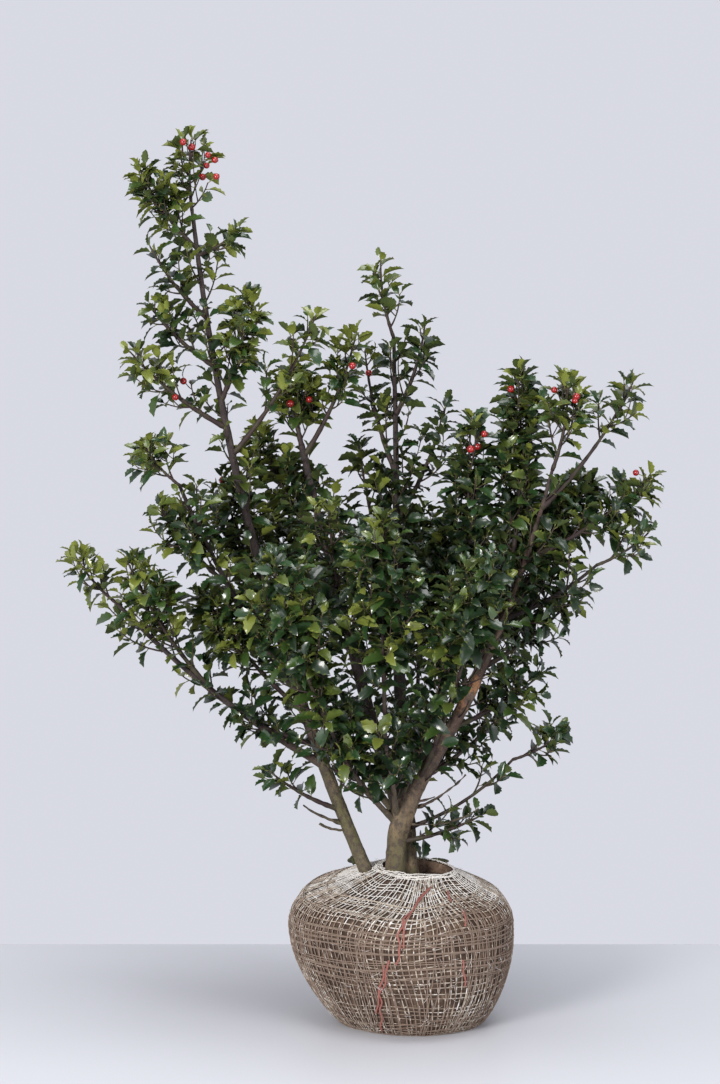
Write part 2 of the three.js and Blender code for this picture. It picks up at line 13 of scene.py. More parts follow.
import bpy
import numpy as np
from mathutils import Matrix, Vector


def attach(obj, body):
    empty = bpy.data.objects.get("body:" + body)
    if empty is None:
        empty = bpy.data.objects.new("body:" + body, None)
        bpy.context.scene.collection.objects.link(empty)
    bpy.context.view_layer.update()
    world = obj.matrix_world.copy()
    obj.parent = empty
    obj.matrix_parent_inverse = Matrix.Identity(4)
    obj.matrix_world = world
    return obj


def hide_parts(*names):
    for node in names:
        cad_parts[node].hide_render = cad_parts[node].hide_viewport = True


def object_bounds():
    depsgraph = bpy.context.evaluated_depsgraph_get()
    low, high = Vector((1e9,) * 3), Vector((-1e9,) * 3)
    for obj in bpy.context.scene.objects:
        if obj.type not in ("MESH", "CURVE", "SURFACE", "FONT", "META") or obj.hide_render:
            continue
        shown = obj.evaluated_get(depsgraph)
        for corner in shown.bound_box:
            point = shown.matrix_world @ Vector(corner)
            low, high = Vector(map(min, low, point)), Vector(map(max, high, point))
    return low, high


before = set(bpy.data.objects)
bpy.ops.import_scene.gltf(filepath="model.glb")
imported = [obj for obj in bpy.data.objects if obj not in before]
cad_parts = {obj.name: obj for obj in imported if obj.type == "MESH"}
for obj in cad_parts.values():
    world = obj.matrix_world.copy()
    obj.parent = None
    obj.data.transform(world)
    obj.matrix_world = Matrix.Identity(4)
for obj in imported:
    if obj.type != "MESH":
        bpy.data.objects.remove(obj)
cad_box = [list(corner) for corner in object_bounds()]
print("solids", len(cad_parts), "box", cad_box)

# %% [markdown]
# ## Small helpers
# Shapes are worked out as whole arrays of points, so the helpers take arrays too. The golden
# angle is the turn from one leaf to the next on many plants, and it keeps leaves from stacking.
# `CAMERA` says where the photo was taken from, in millimetres and degrees.

# %% Numbers and vectors
MM = 0.001
UP = np.array([0.0, 0.0, 1.0])
CAMERA = SimpleNamespace(x=-64.6, distance=3650, height=927, pitch=4.99, lens=97.0)
EYE = np.array([CAMERA.x, CAMERA.height])
GOLDEN_SHARE = (math.sqrt(5) - 1) / 2
GOLDEN_ANGLE = math.tau * (1 - GOLDEN_SHARE)


def unit(vectors):
    """Each vector divided by its own length."""
    return vectors / np.maximum(np.linalg.norm(vectors, axis=-1, keepdims=True), 1e-9)


def between(pair, share):
    """The value that lies `share` of the way from the first of a pair to the second."""
    return pair[0] + (pair[1] - pair[0]) * share


def rise(value, low, high):
    """0 below low, 1 above high, and 3t^2 - 2t^3 between them."""
    t = np.clip((value - low) / (high - low), 0, 1)
    return t * t * (3 - 2 * t)


def angles_round(count):
    """The angles of equal steps round a circle."""
    return np.arange(count) * math.tau / count


def ripples(seed, count, around, along):
    """A random pattern on a tube: a sum of waves sin(m angle + n distance + phase).
    m is a whole number, so the pattern closes on itself round the tube."""
    rng = np.random.default_rng(seed)
    waves = [(rng.integers(0, around + 1), rng.normal() / along, rng.uniform(0, math.tau))
             for _ in range(count)]

    def pattern(angle, distance):
        return sum(np.sin(m * angle + n * distance + phase) for m, n, phase in waves) / math.sqrt(count)

    return pattern


# %% [markdown]
# ## From arrays to a mesh
# `foreach_set` copies whole arrays into a mesh at once, which keeps a shrub of a million faces
# quick to build. A piece rides on the body of the plant, and it may stand for solids of the
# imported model, which are then hidden.

# %% The mesh builder
def add_object(name, data):
    """Puts a new object in the scene, at the origin."""
    made = bpy.data.objects.new(name, data)
    bpy.context.scene.collection.objects.link(made)
    return made


def new_piece(name, points, quads, triangles, looks, slot, replaces=(), look_numbers=None):
    """A smooth mesh from points in millimetres and faces given as rows of point numbers."""
    mesh = bpy.data.meshes.new(name)
    quads = np.asarray(quads, np.int32).reshape(-1, 4)
    triangles = np.asarray(triangles, np.int32).reshape(-1, 3)
    corners = np.concatenate([quads.ravel(), triangles.ravel()])
    sizes = np.repeat([4, 3], [len(quads), len(triangles)])
    mesh.vertices.add(len(points))
    mesh.vertices.foreach_set("co", (np.asarray(points) * MM).astype(np.float32).ravel())
    mesh.loops.add(len(corners))
    mesh.loops.foreach_set("vertex_index", corners)
    mesh.polygons.add(len(sizes))
    mesh.polygons.foreach_set("loop_start", (np.cumsum(sizes) - sizes).astype(np.int32))
    mesh.polygons.foreach_set("use_smooth", np.ones(len(sizes), bool))
    for look in looks:
        mesh.materials.append(look.material)
    if look_numbers is not None:
        mesh.polygons.foreach_set("material_index", np.asarray(look_numbers, np.int32))
    mesh.update(calc_edges=True)
    piece = add_object(name, mesh)
    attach(piece, "root")
    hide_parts(*replaces)
    print(name, "triangles", 2 * len(quads) + len(triangles))
    return piece


def tube_faces(count, rings, sides):
    """Quads round many tubes at once, and triangles that close both ends. Each tube has
    rings x sides points in order, and then the middle points of its foot and its tip."""
    ring, side = np.meshgrid(np.arange(rings - 1), np.arange(sides), indexing="ij")
    low = ring * sides + side
    low_next = ring * sides + (side + 1) % sides
    quads = np.stack([low, low_next, low_next + sides, low + sides], axis=-1).reshape(-1, 4)
    first, second = np.arange(sides), (np.arange(sides) + 1) % sides
    last = (rings - 1) * sides
    foot_cap = np.stack([second, first, np.full(sides, rings * sides)], axis=-1)
    tip_cap = np.stack([last + first, last + second, np.full(sides, rings * sides + 1)], axis=-1)
    shift = np.arange(count)[:, None, None] * (rings * sides + 2)
    return (quads + shift).reshape(-1, 4), (np.concatenate([foot_cap, tip_cap]) + shift).reshape(-1, 3)


def tubes(centres, right, up, radii, sides, swell=1.0):
    """Points, quads and triangles of many tubes at once. Their rings stand round centre lines:
    centre + radius (right cos a + up sin a)."""
    count, rings = centres.shape[:2]
    angle = angles_round(sides)
    radius = (radii[..., None] * swell)[..., None]
    ring = right[..., None, :] * np.cos(angle)[:, None] + up[..., None, :] * np.sin(angle)[:, None]
    skin = (centres[..., None, :] + radius * ring).reshape(count, -1, 3)
    points = np.concatenate([skin, centres[:, [0, -1]]], axis=1).reshape(-1, 3)
    return points, *tube_faces(count, rings, sides)


# %% [markdown]
# ## Materials as expressions
# A node tree is easier to read as maths. `Signal` wraps an output socket and overloads the
# arithmetic, so `1 - moss * 0.5` adds its own Math nodes. `Look` is one material: everything
# that is the same all over the surface is set on the shader's own sockets, and only colour,
# roughness and bump vary from place to place.

# %% The material classes
def maths(operation, turned=False):
    """A method that joins a signal and another value in a Math node."""
    def apply(self, other):
        first, second = (other, self) if turned else (self, other)
        return self.look.node("ShaderNodeMath", {"operation": operation}, {0: first, 1: second})

    return apply


class Signal:
    """A number that a node puts out. Arithmetic on it adds Math nodes."""

    def __init__(self, look, socket):
        self.look = look
        self.socket = socket

    __add__ = __radd__ = maths("ADD")
    __mul__ = __rmul__ = maths("MULTIPLY")
    __sub__ = maths("SUBTRACT")
    __rsub__ = maths("SUBTRACT", turned=True)

    def step(self, low, high):
        """0 below low and 1 above high, smooth between them."""
        inputs = {"Value": self, "From Min": low, "From Max": high}
        return self.look.node("ShaderNodeMapRange", {"interpolation_type": "SMOOTHSTEP"}, inputs)


class Look:
    """A material with a Principled shader, and helpers for the patterns that feed it."""

    def __init__(self, name, colour, roughness, **fixed):
        self.material = bpy.data.materials.new(name)
        self.material.use_nodes = True
        self.nodes = self.material.node_tree.nodes
        self.links = self.material.node_tree.links
        self.shader = self.nodes["Principled BSDF"]
        self.material.diffuse_color = (*colour, 1)
        self.feed("Base Color", (*colour, 1))
        self.feed("Roughness", roughness)
        for socket, value in fixed.items():
            self.feed(socket.replace("_", " "), value)

    def join(self, socket, value):
        if isinstance(value, Signal):
            self.links.new(value.socket, socket)
        else:
            socket.default_value = value

    def feed(self, name, value):
        socket = next(s for s in self.shader.inputs if s.name.lower() == name.lower())
        self.join(socket, value)

    def node(self, kind, settings, inputs, output=0):
        """Adds any node: its settings are set first, then its sockets are filled or linked."""
        made = self.nodes.new(kind)
        for key, value in settings.items():
            setattr(made, key, value)
        for key, value in inputs.items():
            self.join(made.inputs[key], value)
        return Signal(self, made.outputs[output])

    def place(self, stretch=(1, 1, 1)):
        """Object coordinates, which stay put when the plant is moved or seen from elsewhere."""
        where = self.node("ShaderNodeTexCoord", {}, {}, "Object")
        return self.node("ShaderNodeMapping", {}, {"Vector": where, "Scale": stretch})

    def noise(self, scale, detail=3.0, stretch=(1, 1, 1), roughness=0.5):
        inputs = {"Vector": self.place(stretch), "Scale": scale, "Detail": detail,
                  "Roughness": roughness}
        return self.node("ShaderNodeTexNoise", {}, inputs)

    def cells(self, scale, stretch=(1, 1, 1)):
        return self.node("ShaderNodeTexVoronoi", {}, {"Vector": self.place(stretch), "Scale": scale})

    def height(self):
        """How far above the ground a point is, in metres."""
        return self.node("ShaderNodeSeparateXYZ", {}, {"Vector": self.place()}, "Z")

    def mix(self, share, first, second):
        colours = [(*c, 1) if isinstance(c, tuple) else c for c in (first, second)]
        inputs = {"Factor": share, 6: colours[0], 7: colours[1]}
        return self.node("ShaderNodeMix", {"data_type": "RGBA"}, inputs, 2)

    def bump(self, height, strength, distance):
        inputs = {"Height": height, "Strength": strength, "Distance": distance}
        self.feed("Normal", self.node("ShaderNodeBump", {}, inputs))


# %% [markdown]
# ## Bark
# Holly wood is smooth and olive green where algae sit on it, then tan with grey patches, and the
# young stems and thin twigs are dark purple-brown. Two noises make the light and dark patches, a
# finer one the dark flecks, and cells the light pores. Height, in metres, fades the algae out
# above the foot and the dark bark in further up.

# %% Bark, twig and berry finishes
OLIVE = (0.088, 0.078, 0.034)
TAN = (0.215, 0.145, 0.085)
GREY_BARK = (0.150, 0.113, 0.074)
DARK_BARK = (0.050, 0.036, 0.030)
YOUNG_BARK = (0.030, 0.021, 0.021)
RED_BARK = (0.150, 0.088, 0.066)
WORN_BARK = (0.36, 0.18, 0.09)
PORE = (0.34, 0.26, 0.17)
REDDENS = (0.27, 0.36)
ALGAE_FADE = 0.12
DARK_FADE = 0.2
WORN_FADE = 0.02


def bark_look(name, wood, algae_top, dark_from, worn=None):
    """Wood that reddens with height, with grey patches, light pores and dark flecks, olive algae
    up to one height and dark young bark above another, and a stretch where the outer bark is
    worn off in places."""
    look = Look(name, wood, 0.8)
    patches = look.noise(52, 6, stretch=(1, 1, 0.7), roughness=0.62)
    blotches = look.noise(30, 6, stretch=(1, 1, 0.55), roughness=0.66)
    flecks = look.noise(150, 5, stretch=(1, 1, 0.75), roughness=0.66)
    pores = 1 - look.cells(170, stretch=(1, 1, 1.4)).step(0.10, 0.24)
    height = look.height()
    colour = look.mix(height.step(*REDDENS), wood, RED_BARK)
    colour = look.mix(patches.step(0.42, 0.62) * 0.7, colour, GREY_BARK)
    colour = look.mix(blotches.step(0.47, 0.56) * 0.55, colour, DARK_BARK)
    algae = (1 - height.step(algae_top - ALGAE_FADE, algae_top)) * look.noise(26, 4).step(0.36, 0.6)
    colour = look.mix(algae, colour, OLIVE)
    colour = look.mix(pores * 0.3, colour, PORE)
    if worn is not None:
        low, high = worn
        stretch = height.step(low, low + WORN_FADE) * (1 - height.step(high - WORN_FADE, high))
        colour = look.mix(stretch * look.noise(38, 5).step(0.47, 0.56), colour, WORN_BARK)
    young = look.mix(flecks.step(0.52, 0.72) * 0.25, YOUNG_BARK, GREY_BARK)
    colour = look.mix((height + 0.12 * patches).step(dark_from, dark_from + DARK_FADE), colour, young)
    colour = look.mix(flecks.step(0.47, 0.6) * 0.75, colour, DARK_BARK)
    look.feed("Base Color", colour)
    look.feed("Roughness", 0.95 - 0.15 * patches)
    look.bump(patches + blotches * 0.8 + flecks * 0.6 + pores * 0.3, strength=1.0, distance=0.0022)
    return look


trunk_bark = bark_look("trunk_bark", TAN, algae_top=0.30, dark_from=0.60, worn=(0.395, 0.465))
olive_bark = bark_look("olive_bark", (0.120, 0.098, 0.052), algae_top=0.42, dark_from=0.34)
bough_bark = bark_look("bough_bark", (0.10, 0.072, 0.052), algae_top=0.34, dark_from=0.28)

twig_skin = Look("twig_skin", (0.045, 0.030, 0.027), 0.65, specular_ior_level=0.3)
twig_patches = twig_skin.noise(60).step(0.4, 0.7)
twig_skin.feed("Base Color", twig_skin.mix(twig_patches, (0.036, 0.022, 0.021), (0.050, 0.044, 0.024)))
twig_skin.bump(twig_skin.noise(400), strength=0.3, distance=0.0004)

berry_skin = Look("berry_skin", (0.28, 0.008, 0.009), 0.28, coat_weight=0.35, coat_roughness=0.12)
berry_skin.bump(berry_skin.noise(300), strength=0.08, distance=0.0003)

# %% [markdown]
# ## Limbs
# Each limb is a bend: a quadratic curve from its foot to its tip whose middle hangs outwards, as
# branches do that grow sideways first and then up to the light. The lists repeat the drawing:
# `foot` is a place in the soil, a point, or the limb that carries it and the share of that limb's
# length where it leaves. The soil in the ball's hole is `SOIL` above the ground, and a stem that
# stands in it starts `BELOW` under its surface.

# %% Bends
class Bend:
    """A tapering centre line: (1-t)^2 foot + 2t(1-t) middle + t^2 tip, with the middle pushed
    2 bow outwards and a sideways waver of wave 4t(1-t) sin(7t + phase)."""

    def __init__(self, foot, tip, bow, radii, wave=0.0, phase=0.0):
        self.foot = np.array(foot, float)
        self.tip = np.array(tip, float)
        self.radii = radii
        self.wave = wave
        self.phase = phase
        across = self.tip - self.foot
        level = across * [1, 1, 0]
        self.right = unit(np.cross(level, UP)) if level @ level > 1 else np.array([1.0, 0.0, 0.0])
        outward = unit(np.cross(across, self.right))
        self.middle = (self.foot + self.tip) / 2 + 2 * bow * outward
        self.length = np.linalg.norm(np.diff(self.point(np.linspace(0, 1, 9)), axis=0), axis=1).sum()

    def point(self, t):
        t = np.asarray(t, float)[..., None]
        curve = (1 - t) ** 2 * self.foot + 2 * t * (1 - t) * self.middle + t**2 * self.tip
        return curve + self.right * (self.wave * 4 * t * (1 - t) * np.sin(7 * t + self.phase))

    def heading(self, t):
        t = np.asarray(t, float)[..., None]
        return unit((1 - t) * (self.middle - self.foot) + t * (self.tip - self.middle))

    def up(self, t):
        return np.cross(self.right, self.heading(t))

    def radius(self, t):
        return between(self.radii, np.asarray(t, float))

    def turned_off(self, t, turn, angle):
        """A direction `angle` off the heading at t, turned round it by `turn`."""
        side = self.up(t) * np.cos(turn)[..., None] + self.right * np.sin(turn)[..., None]
        return self.heading(t) * np.cos(angle)[..., None] + side * np.sin(angle)[..., None]


COLLAR_LENGTH = 9
SCAR_SPACING = 31
SCAR_WIDTH = 0.09


def branch_surface(bend, sides, step, relief, collar, lumps):
    """Points and faces of a limb's skin. Its radius swells to a collar at the foot, as
    1 + collar exp(-distance / COLLAR_LENGTH), wears a relief, and swells at each old leaf scar."""
    rings = int(bend.length / step) + 2
    t = np.linspace(0, 1, rings)
    distance, angle = t * bend.length, angles_round(sides)
    scars = lumps * np.exp(-(((distance / SCAR_SPACING) % 1 - 0.5) / SCAR_WIDTH) ** 2)
    scar_turn = np.floor(distance / SCAR_SPACING) * GOLDEN_ANGLE
    scars = scars[:, None] * (0.6 + 0.4 * np.cos(angle - scar_turn[:, None]))
    foot = collar * np.exp(-distance / COLLAR_LENGTH)
    swell = 1 + foot[:, None] + scars + relief(angle, distance[:, None])
    right = np.broadcast_to(bend.right, (rings, 3))
    lines = [line[None] for line in (bend.point(t), right, bend.up(t), bend.radius(t))]
    return tubes(*lines, sides, swell[None])


# %% The limbs, as drawn
SOIL = 181.3
BELOW = 12
LIMB_WAVE = 2.2
Limb = namedtuple("Limb", "foot tip bow radii")
TRUNK = (
    Limb((-22, -8), (-17, -6, 288), 1.5, (14, 12)),
    Limb((-2, 8), (-6, 9, 274), 1.5, (12.5, 10.5)),
)
LIMBS = {
    "leader_stem": Limb((-48, 4), (-273, 25, 1010), 33, (8.8, 2.6)),
    "right_stem": Limb((-18, -6, 262), (170, -95, 705), 22, (10.5, 2.8)),
    "centre_stem": Limb((-5, 10, 250), (-21, 105, 862), 22, (9.5, 2.6)),
    "centre_left_stem": Limb((-12, 6, 256), (-139, 60, 727), 5, (9, 4)),
    "right_side_bough": Limb(("right_stem", 0.6), (226, -86, 588), 7, (3.8, 2.3)),
    "far_left_bough": Limb(("leader_stem", 0.19), (-366, -36, 534), 13, (5, 2.4)),
    "left_bough": Limb(("leader_stem", 0.3), (-288, -50, 684), 10, (4.6, 2.2)),
    "low_right_bough": Limb((0, 4, 246), (128, -16, 336), 10, (3.6, 2.2)),
    "front_bough": Limb((-16, -10, 262), (-34, -92, 404), 14, (5.5, 3)),
    "front_left_bough": Limb((-20, -8, 256), (-104, -96, 396), 12, (5, 3)),
    "back_left_bough": Limb((-8, 10, 250), (-104, 104, 410), 16, (5, 3)),
    "back_bough": Limb((-4, 12, 248), (10, 122, 398), 16, (5, 3)),
}
DEAD_TWIGS = (
    Limb(("leader_stem", 0.095), (-136, -14, 277), 3, (1.7, 0.9)),
    Limb(("leader_stem", 0.09), (-116, -22, 254), 3, (1.5, 0.9)),
    Limb(("trunk", 0.93), (29, -34, 291), 3, (1.6, 0.8)),
    Limb(("trunk", 0.80), (68, -30, 318), 7, (1.7, 0.8)),
    Limb(("trunk", 0.74), (84, -34, 276), 13, (1.5, 0.7)),
    Limb(("trunk", 0.78), (-62, -26, 300), 5, (1.5, 0.8)),
)


def drawn_bend(limb, wave=0.0, phase=0.0):
    """The bend of a limb in the lists."""
    if isinstance(limb.foot[0], str):
        carrier, share = limb.foot
        foot = limbs[carrier].point(share)
    else:
        foot = (*limb.foot, SOIL - BELOW)[:3]
    return Bend(foot, limb.tip, limb.bow, limb.radii, wave, phase)


trunk_stems = [drawn_bend(stem) for stem in TRUNK]
limbs = {"trunk": trunk_stems[0]}
for number, (name, limb) in enumerate(LIMBS.items()):
    limbs[name] = drawn_bend(limb, LIMB_WAVE, number)
print("limbs", len(limbs), "longest", round(max(bend.length for bend in limbs.values())), "mm")

# %% [markdown]
# ## Skins for the limbs
# A limb could keep the solid's eight flat sides, but bark shows best as real relief on a fine
# tube. The trunk is two stems grown together, so its two tubes overlap, and each flows on into
# one of the main limbs without a seam. A few thin boughs are drawn slimmer than their solids:
# `SLIM` gives the share taken off the radius at the foot and at the tip, and over
# `SLIM_STRETCH` of the limb's length the first changes into the second.

# %% Build the bark
SKIN_STEP = 1.6
THICK_FROM = 6
THICK_SKIN = dict(sides=40, wave=9.0, depth=0.05, collar=0.18)
THIN_SKIN = dict(sides=20, wave=6.0, depth=0.035, collar=0.45)
LIMB_LOOKS = {"leader_stem": olive_bark, "right_stem": trunk_bark, "low_right_bough": twig_skin}
SLIM = {"low_right_bough": (0.3, 0.3), "front_bough": (0.3, 0.3), "front_left_bough": (0.25, 0.25),
        "right_side_bough": (0.2, 0.2), "right_stem": (0, 0.32), "centre_stem": (0, 0.15)}
SLIM_STRETCH = (0.3, 0.7)


def limb_skin(name, look):
    bend = limbs[name]
    skin = THICK_SKIN if bend.radii[0] > THICK_FROM else THIN_SKIN
    waves = ripples(len(name), count=14, around=9, along=skin["wave"])
    slim = SLIM.get(name, (0, 0))

    def relief(angle, distance):
        slimmer = between(slim, rise(distance / bend.length, *SLIM_STRETCH))
        return skin["depth"] * waves(angle, distance) - slimmer

    surface = branch_surface(bend, skin["sides"], SKIN_STEP, relief, skin["collar"], lumps=0.05)
    new_piece(name + "_bark", *surface, [look], "bark", [name])


def join_tubes(parts):
    """Several (points, quads, triangles) as one, with the face numbers moved on."""
    points, quads, triangles = zip(*parts)
    shifts = np.cumsum([0] + [len(p) for p in points])
    quads = [q + shift for q, shift in zip(quads, shifts)]
    triangles = [t + shift for t, shift in zip(triangles, shifts)]
    return np.concatenate(points), np.concatenate(quads), np.concatenate(triangles)


class Route:
    """A line that follows one bend up to its share `leave`, and then a share `leap` of another
    from its share `enter`. A moving average makes it smooth, and the radius passes from the
    first to the second and ends a little thinner than the second."""

    SAMPLES, EVEN_STEPS, WINDOW = 200, 160, 25
    THINS = (1.12, 0.9)

    def __init__(self, first, second, leave, enter, leap):
        t = np.linspace(0, 1, self.SAMPLES)
        late = t[t >= 0.5] * 2 - 1
        here, there = t[t < 0.5] * 2 * leave, enter + late * leap
        rough = np.concatenate([first.point(here), second.point(there)])
        thick = np.concatenate([first.radius(here), second.radius(there) * between(self.THINS, late)])
        steps = np.concatenate([[0], np.linalg.norm(np.diff(rough, axis=0), axis=1).cumsum()])
        even = np.linspace(0, steps[-1], self.EVEN_STEPS)
        columns = np.stack([np.interp(even, steps, column) for column in (*rough.T, thick)], axis=-1)
        extra = self.WINDOW // 2
        padded = np.concatenate([[columns[0]] * extra, columns, [columns[-1]] * extra])
        mean = np.ones(self.WINDOW) / self.WINDOW
        self.line = np.stack([np.convolve(column, mean, "valid") for column in padded.T], axis=-1)
        self.right = second.right
        self.length = steps[-1]

    def columns(self, t):
        even = np.linspace(0, 1, len(self.line))
        return np.stack([np.interp(t, even, column) for column in self.line.T], axis=-1)

    def point(self, t):
        return self.columns(t)[..., :3]

    def radius(self, t):
        return self.columns(t)[..., 3]

    def up(self, t):
        ahead = self.point(np.minimum(t + 0.01, 1)) - self.point(np.maximum(t - 0.01, 0))
        return unit(np.cross(self.right, ahead))


def trunk_tube(route, seed):
    """The trunk's radius swells a little into five lobes at its foot, by 0.14 exp(-distance / 14)
    (1 + 0.5 sin(5 angle)), and has knobs all along."""
    relief = ripples(seed, count=18, around=6, along=9.0)

    def shape(angle, distance):
        flare = 0.14 * np.exp(-distance / 14) * (1 + 0.5 * np.sin(5 * angle))
        return flare + 0.055 * relief(angle, distance)

    return branch_surface(route, sides=64, step=1.0, relief=shape, collar=0.0, lumps=0.06)


ROUTES = (Route(trunk_stems[0], limbs["right_stem"], leave=0.62, enter=0.1, leap=0.2),
          Route(trunk_stems[1], limbs["centre_stem"], leave=0.7, enter=0.06, leap=0.1))
new_piece("trunk_bark", *join_tubes([trunk_tube(route, seed) for seed, route in enumerate(ROUTES)]),
          [trunk_bark], "bark", ["trunk"])
for name in limbs:
    if name != "trunk":
        limb_skin(name, LIMB_LOOKS.get(name, bough_bark))

# %% [markdown]
# ## The masses of foliage
# A mass is one leafy branch: it grows from its limb towards `tip` and fills an egg-shaped space
# with a radius of `girth`, bare over the first share of its stem. Photographed leaves are far
# too many to place by hand, so a seeded rule grows them, and the same list always gives the
# same shrub. `fresh` is how much fresher a mass's green is than its neighbours', partly its own
# colour and partly painted light and shade, as it adds to the mass's share of light, and
# `leafiness` how many more twigs it has.

# %% The masses, as drawn
SWELL = 0.05
Mass = namedtuple("Mass", "name on at tip girth fresh leafiness bare", defaults=(1, 0.1))
MASSES = [Mass(*row) for row in (
    ("leader_top", "leader_stem", 1, (-276, 28, 1134), 38, 0.42, 1.35),
    ("leader_left_high", "leader_stem", 0.96, (-352, 0, 1092), 33, 0.4, 1.35),
    ("leader_right_high", "leader_stem", 0.95, (-198, 42, 1010), 28, -0.1, 1.3),
    ("leader_left_mid", "leader_stem", 0.86, (-340, -6, 996), 32, 0.35, 0.75),
    ("leader_left_low", "leader_stem", 0.79, (-344, -4, 920), 34, 0.35, 1, 0.2),
    ("upper_left", "leader_stem", 0.7, (-368, -26, 862), 36, 0.45, 1, 0.2),
    ("upper_mid", "leader_stem", 0.74, (-196, -6, 934), 38, 0.3, 1.5),
    ("upper_inner", "leader_stem", 0.66, (-108, -10, 910), 40, 0.25, 0.6, 0.3),
    ("centre_left_top", "centre_left_stem", 1, (-146, 60, 840), 38, 0.5, 1.9, 0.02),
    ("centre_left_fork", "centre_left_stem", 0.97, (-60, 46, 890), 32, 0.35, 1.0, 0.3),
    ("centre_left_low", "centre_left_stem", 0.72, (-210, 84, 766), 40, 0.25),
    ("spire_top", "centre_stem", 1, (-42, 110, 985), 30, 0.4),
    ("spire_right", "centre_stem", 0.84, (26, 98, 902), 31, 0.15, 0.6, 0.15),
    ("spire_left", "centre_stem", 0.72, (-64, 128, 868), 33, 0.1, 0.45),
    ("spire_low_right", "centre_stem", 0.62, (56, 112, 800), 40, -0.1, 0.45),
    ("spire_low_left", "centre_stem", 0.46, (-72, 140, 748), 42, -0.05, 0.45),
    ("right_inner_top", "right_stem", 0.56, (130, -66, 848), 36, 0.1, 1.5, 0.3),
    ("right_inner_left", "right_stem", 0.5, (70, -64, 784), 42, 0.08, 1.3, 0.25),
    ("right_top", "right_stem", 1, (192, -104, 836), 38, 0.35, 1.25),
    ("right_outer_top", "right_stem", 0.9, (282, -84, 830), 38, 0.38, 0.7, 0.5),
    ("right_tip", "right_stem", 0.76, (314, -60, 708), 36, 0.25, 1, 0.3),
    ("right_mid", "right_stem", 0.64, (226, -16, 708), 48, 0.15, 1.5),
    ("right_side", "right_side_bough", 1, (308, -92, 640), 36, 0.2),
    ("right_low_outer", "right_stem", 0.46, (222, -50, 562), 42, 0.1, 0.5),
    ("right_low", "right_stem", 0.28, (182, -40, 460), 44, 0.0, 0.75),
    ("low_right", "low_right_bough", 1, (208, -25, 380), 33, 0.0),
    ("low_right_inner", "right_stem", 0.12, (136, 30, 404), 42, 0.1, 0.7),
    ("lowest_right", "trunk", 0.5, (112, -24, 274), 34, -0.1, 0.65),
    ("far_left", "far_left_bough", 1, (-434, -42, 614), 30, 0.6),
    ("left_fork", "far_left_bough", 0.5, (-364, -66, 610), 42, 0.38, 1.2, 0.3),
    ("lowest_left", "leader_stem", 0.12, (-198, -30, 334), 30, 0.1, 0.55, 0.35),
    ("left_under", "leader_stem", 0.22, (-262, -10, 420), 42, 0.0, 0.5),
    ("left_mid", "leader_stem", 0.27, (-276, 0, 560), 50, 0.28, 1.5, 0.35),
    ("left_top", "left_bough", 1, (-344, -56, 748), 40, 0.2, 1.5),
    ("left_outer", "left_bough", 0.55, (-326, -44, 672), 42, 0.4),
    ("left_inner", "leader_stem", 0.4, (-246, 56, 706), 48, 0.3),
    ("front_top", "front_bough", 1, (-40, -176, 668), 60, 0.17, 1.2),
    ("front_left", "front_left_bough", 1, (-176, -172, 624), 60, 0.05),
    ("front_right", "right_stem", 0.1, (94, -190, 622), 60, 0.17, 1.15, 0.35),
    ("low_front_left", "front_left_bough", 0.3, (-146, -110, 470), 50, -0.05),
    ("low_front_right", "trunk", 0.9, (40, -110, 470), 50, -0.08, 0.7),
    ("middle", "centre_left_stem", 0.42, (-108, -46, 676), 62, 0.1),
    ("inner_right", "right_stem", 0.38, (42, -36, 650), 60, 0.02, 1.35),
    ("back_left", "back_left_bough", 1, (-190, 190, 665), 66, 0.15),
    ("back", "back_bough", 1, (20, 225, 650), 70, 0.1),
    ("back_right", "right_stem", 0.08, (176, 150, 672), 66, 0.15, 1, 0.4),
)]

# %% [markdown]
# ## How a mass grows
# Each stem sends out side twigs, and long twigs send out finer ones. A twig leaves its parent
# at a golden-angle turn and grows until its end leaf reaches the edge of the mass's egg, so the
# fine growth keeps the outline of the solid. Leaves stand along every shoot at the same turn,
# small and steep at the tip, larger and flatter lower down, and turn their upper side to the
# light outside the crown.

# %% Growth rule
LEAF_LENGTH = 25
LEAF_SPACING = 6.0
TWIG_ORDERS = (
    dict(spacing=14, angles=(26, 50), longest=125, shortest=15, radii=(1.25, 0.75), bow=0.07),
    dict(spacing=16, angles=(30, 56), longest=64, shortest=11, radii=(0.9, 0.6), bow=0.07),
)
LAST_TWIG = 0.93
LEAF_REACH = (1.15, 1.5)
LEAF_ANGLES, LEAF_SIZES, FULL_RANK = (26, 64), (0.62, 1.0), 3
FACING = dict(shoot=0.9, outside=0.18, up=0.55, scatter=0.42)
LIMB_STEP = 6
MASS_STEM = dict(share=0.95, radii=(1.8, 3.8), tip=1.0, end_leaf=0.95, bow=0.04)


class Space:
    """A mass's egg round the leafy stretch of its stem. reach(points) is under 1 inside it:
    (along / half)^2 + (across / girth)^2, with the girth growing towards the tip."""

    def __init__(self, stem, target, girth, bare):
        start = stem.point(bare)
        self.half = np.linalg.norm(target - start) / 2
        self.axis = unit(target - start)
        self.centre = (target + start) / 2
        self.girth = girth

    def reach(self, points):
        offset = points - self.centre
        along = offset @ self.axis
        across = (offset * offset).sum(axis=-1) - along**2
        swell = self.girth * (1 + SWELL * np.clip(along / self.half, -1, 1))
        return (along / self.half) ** 2 + across / swell**2

    def holds(self, middles, ends):
        """True for a leaf whose middle and end are inside, or not too far out."""
        return (self.reach(middles) < LEAF_REACH[0]) & (self.reach(ends) < LEAF_REACH[1])


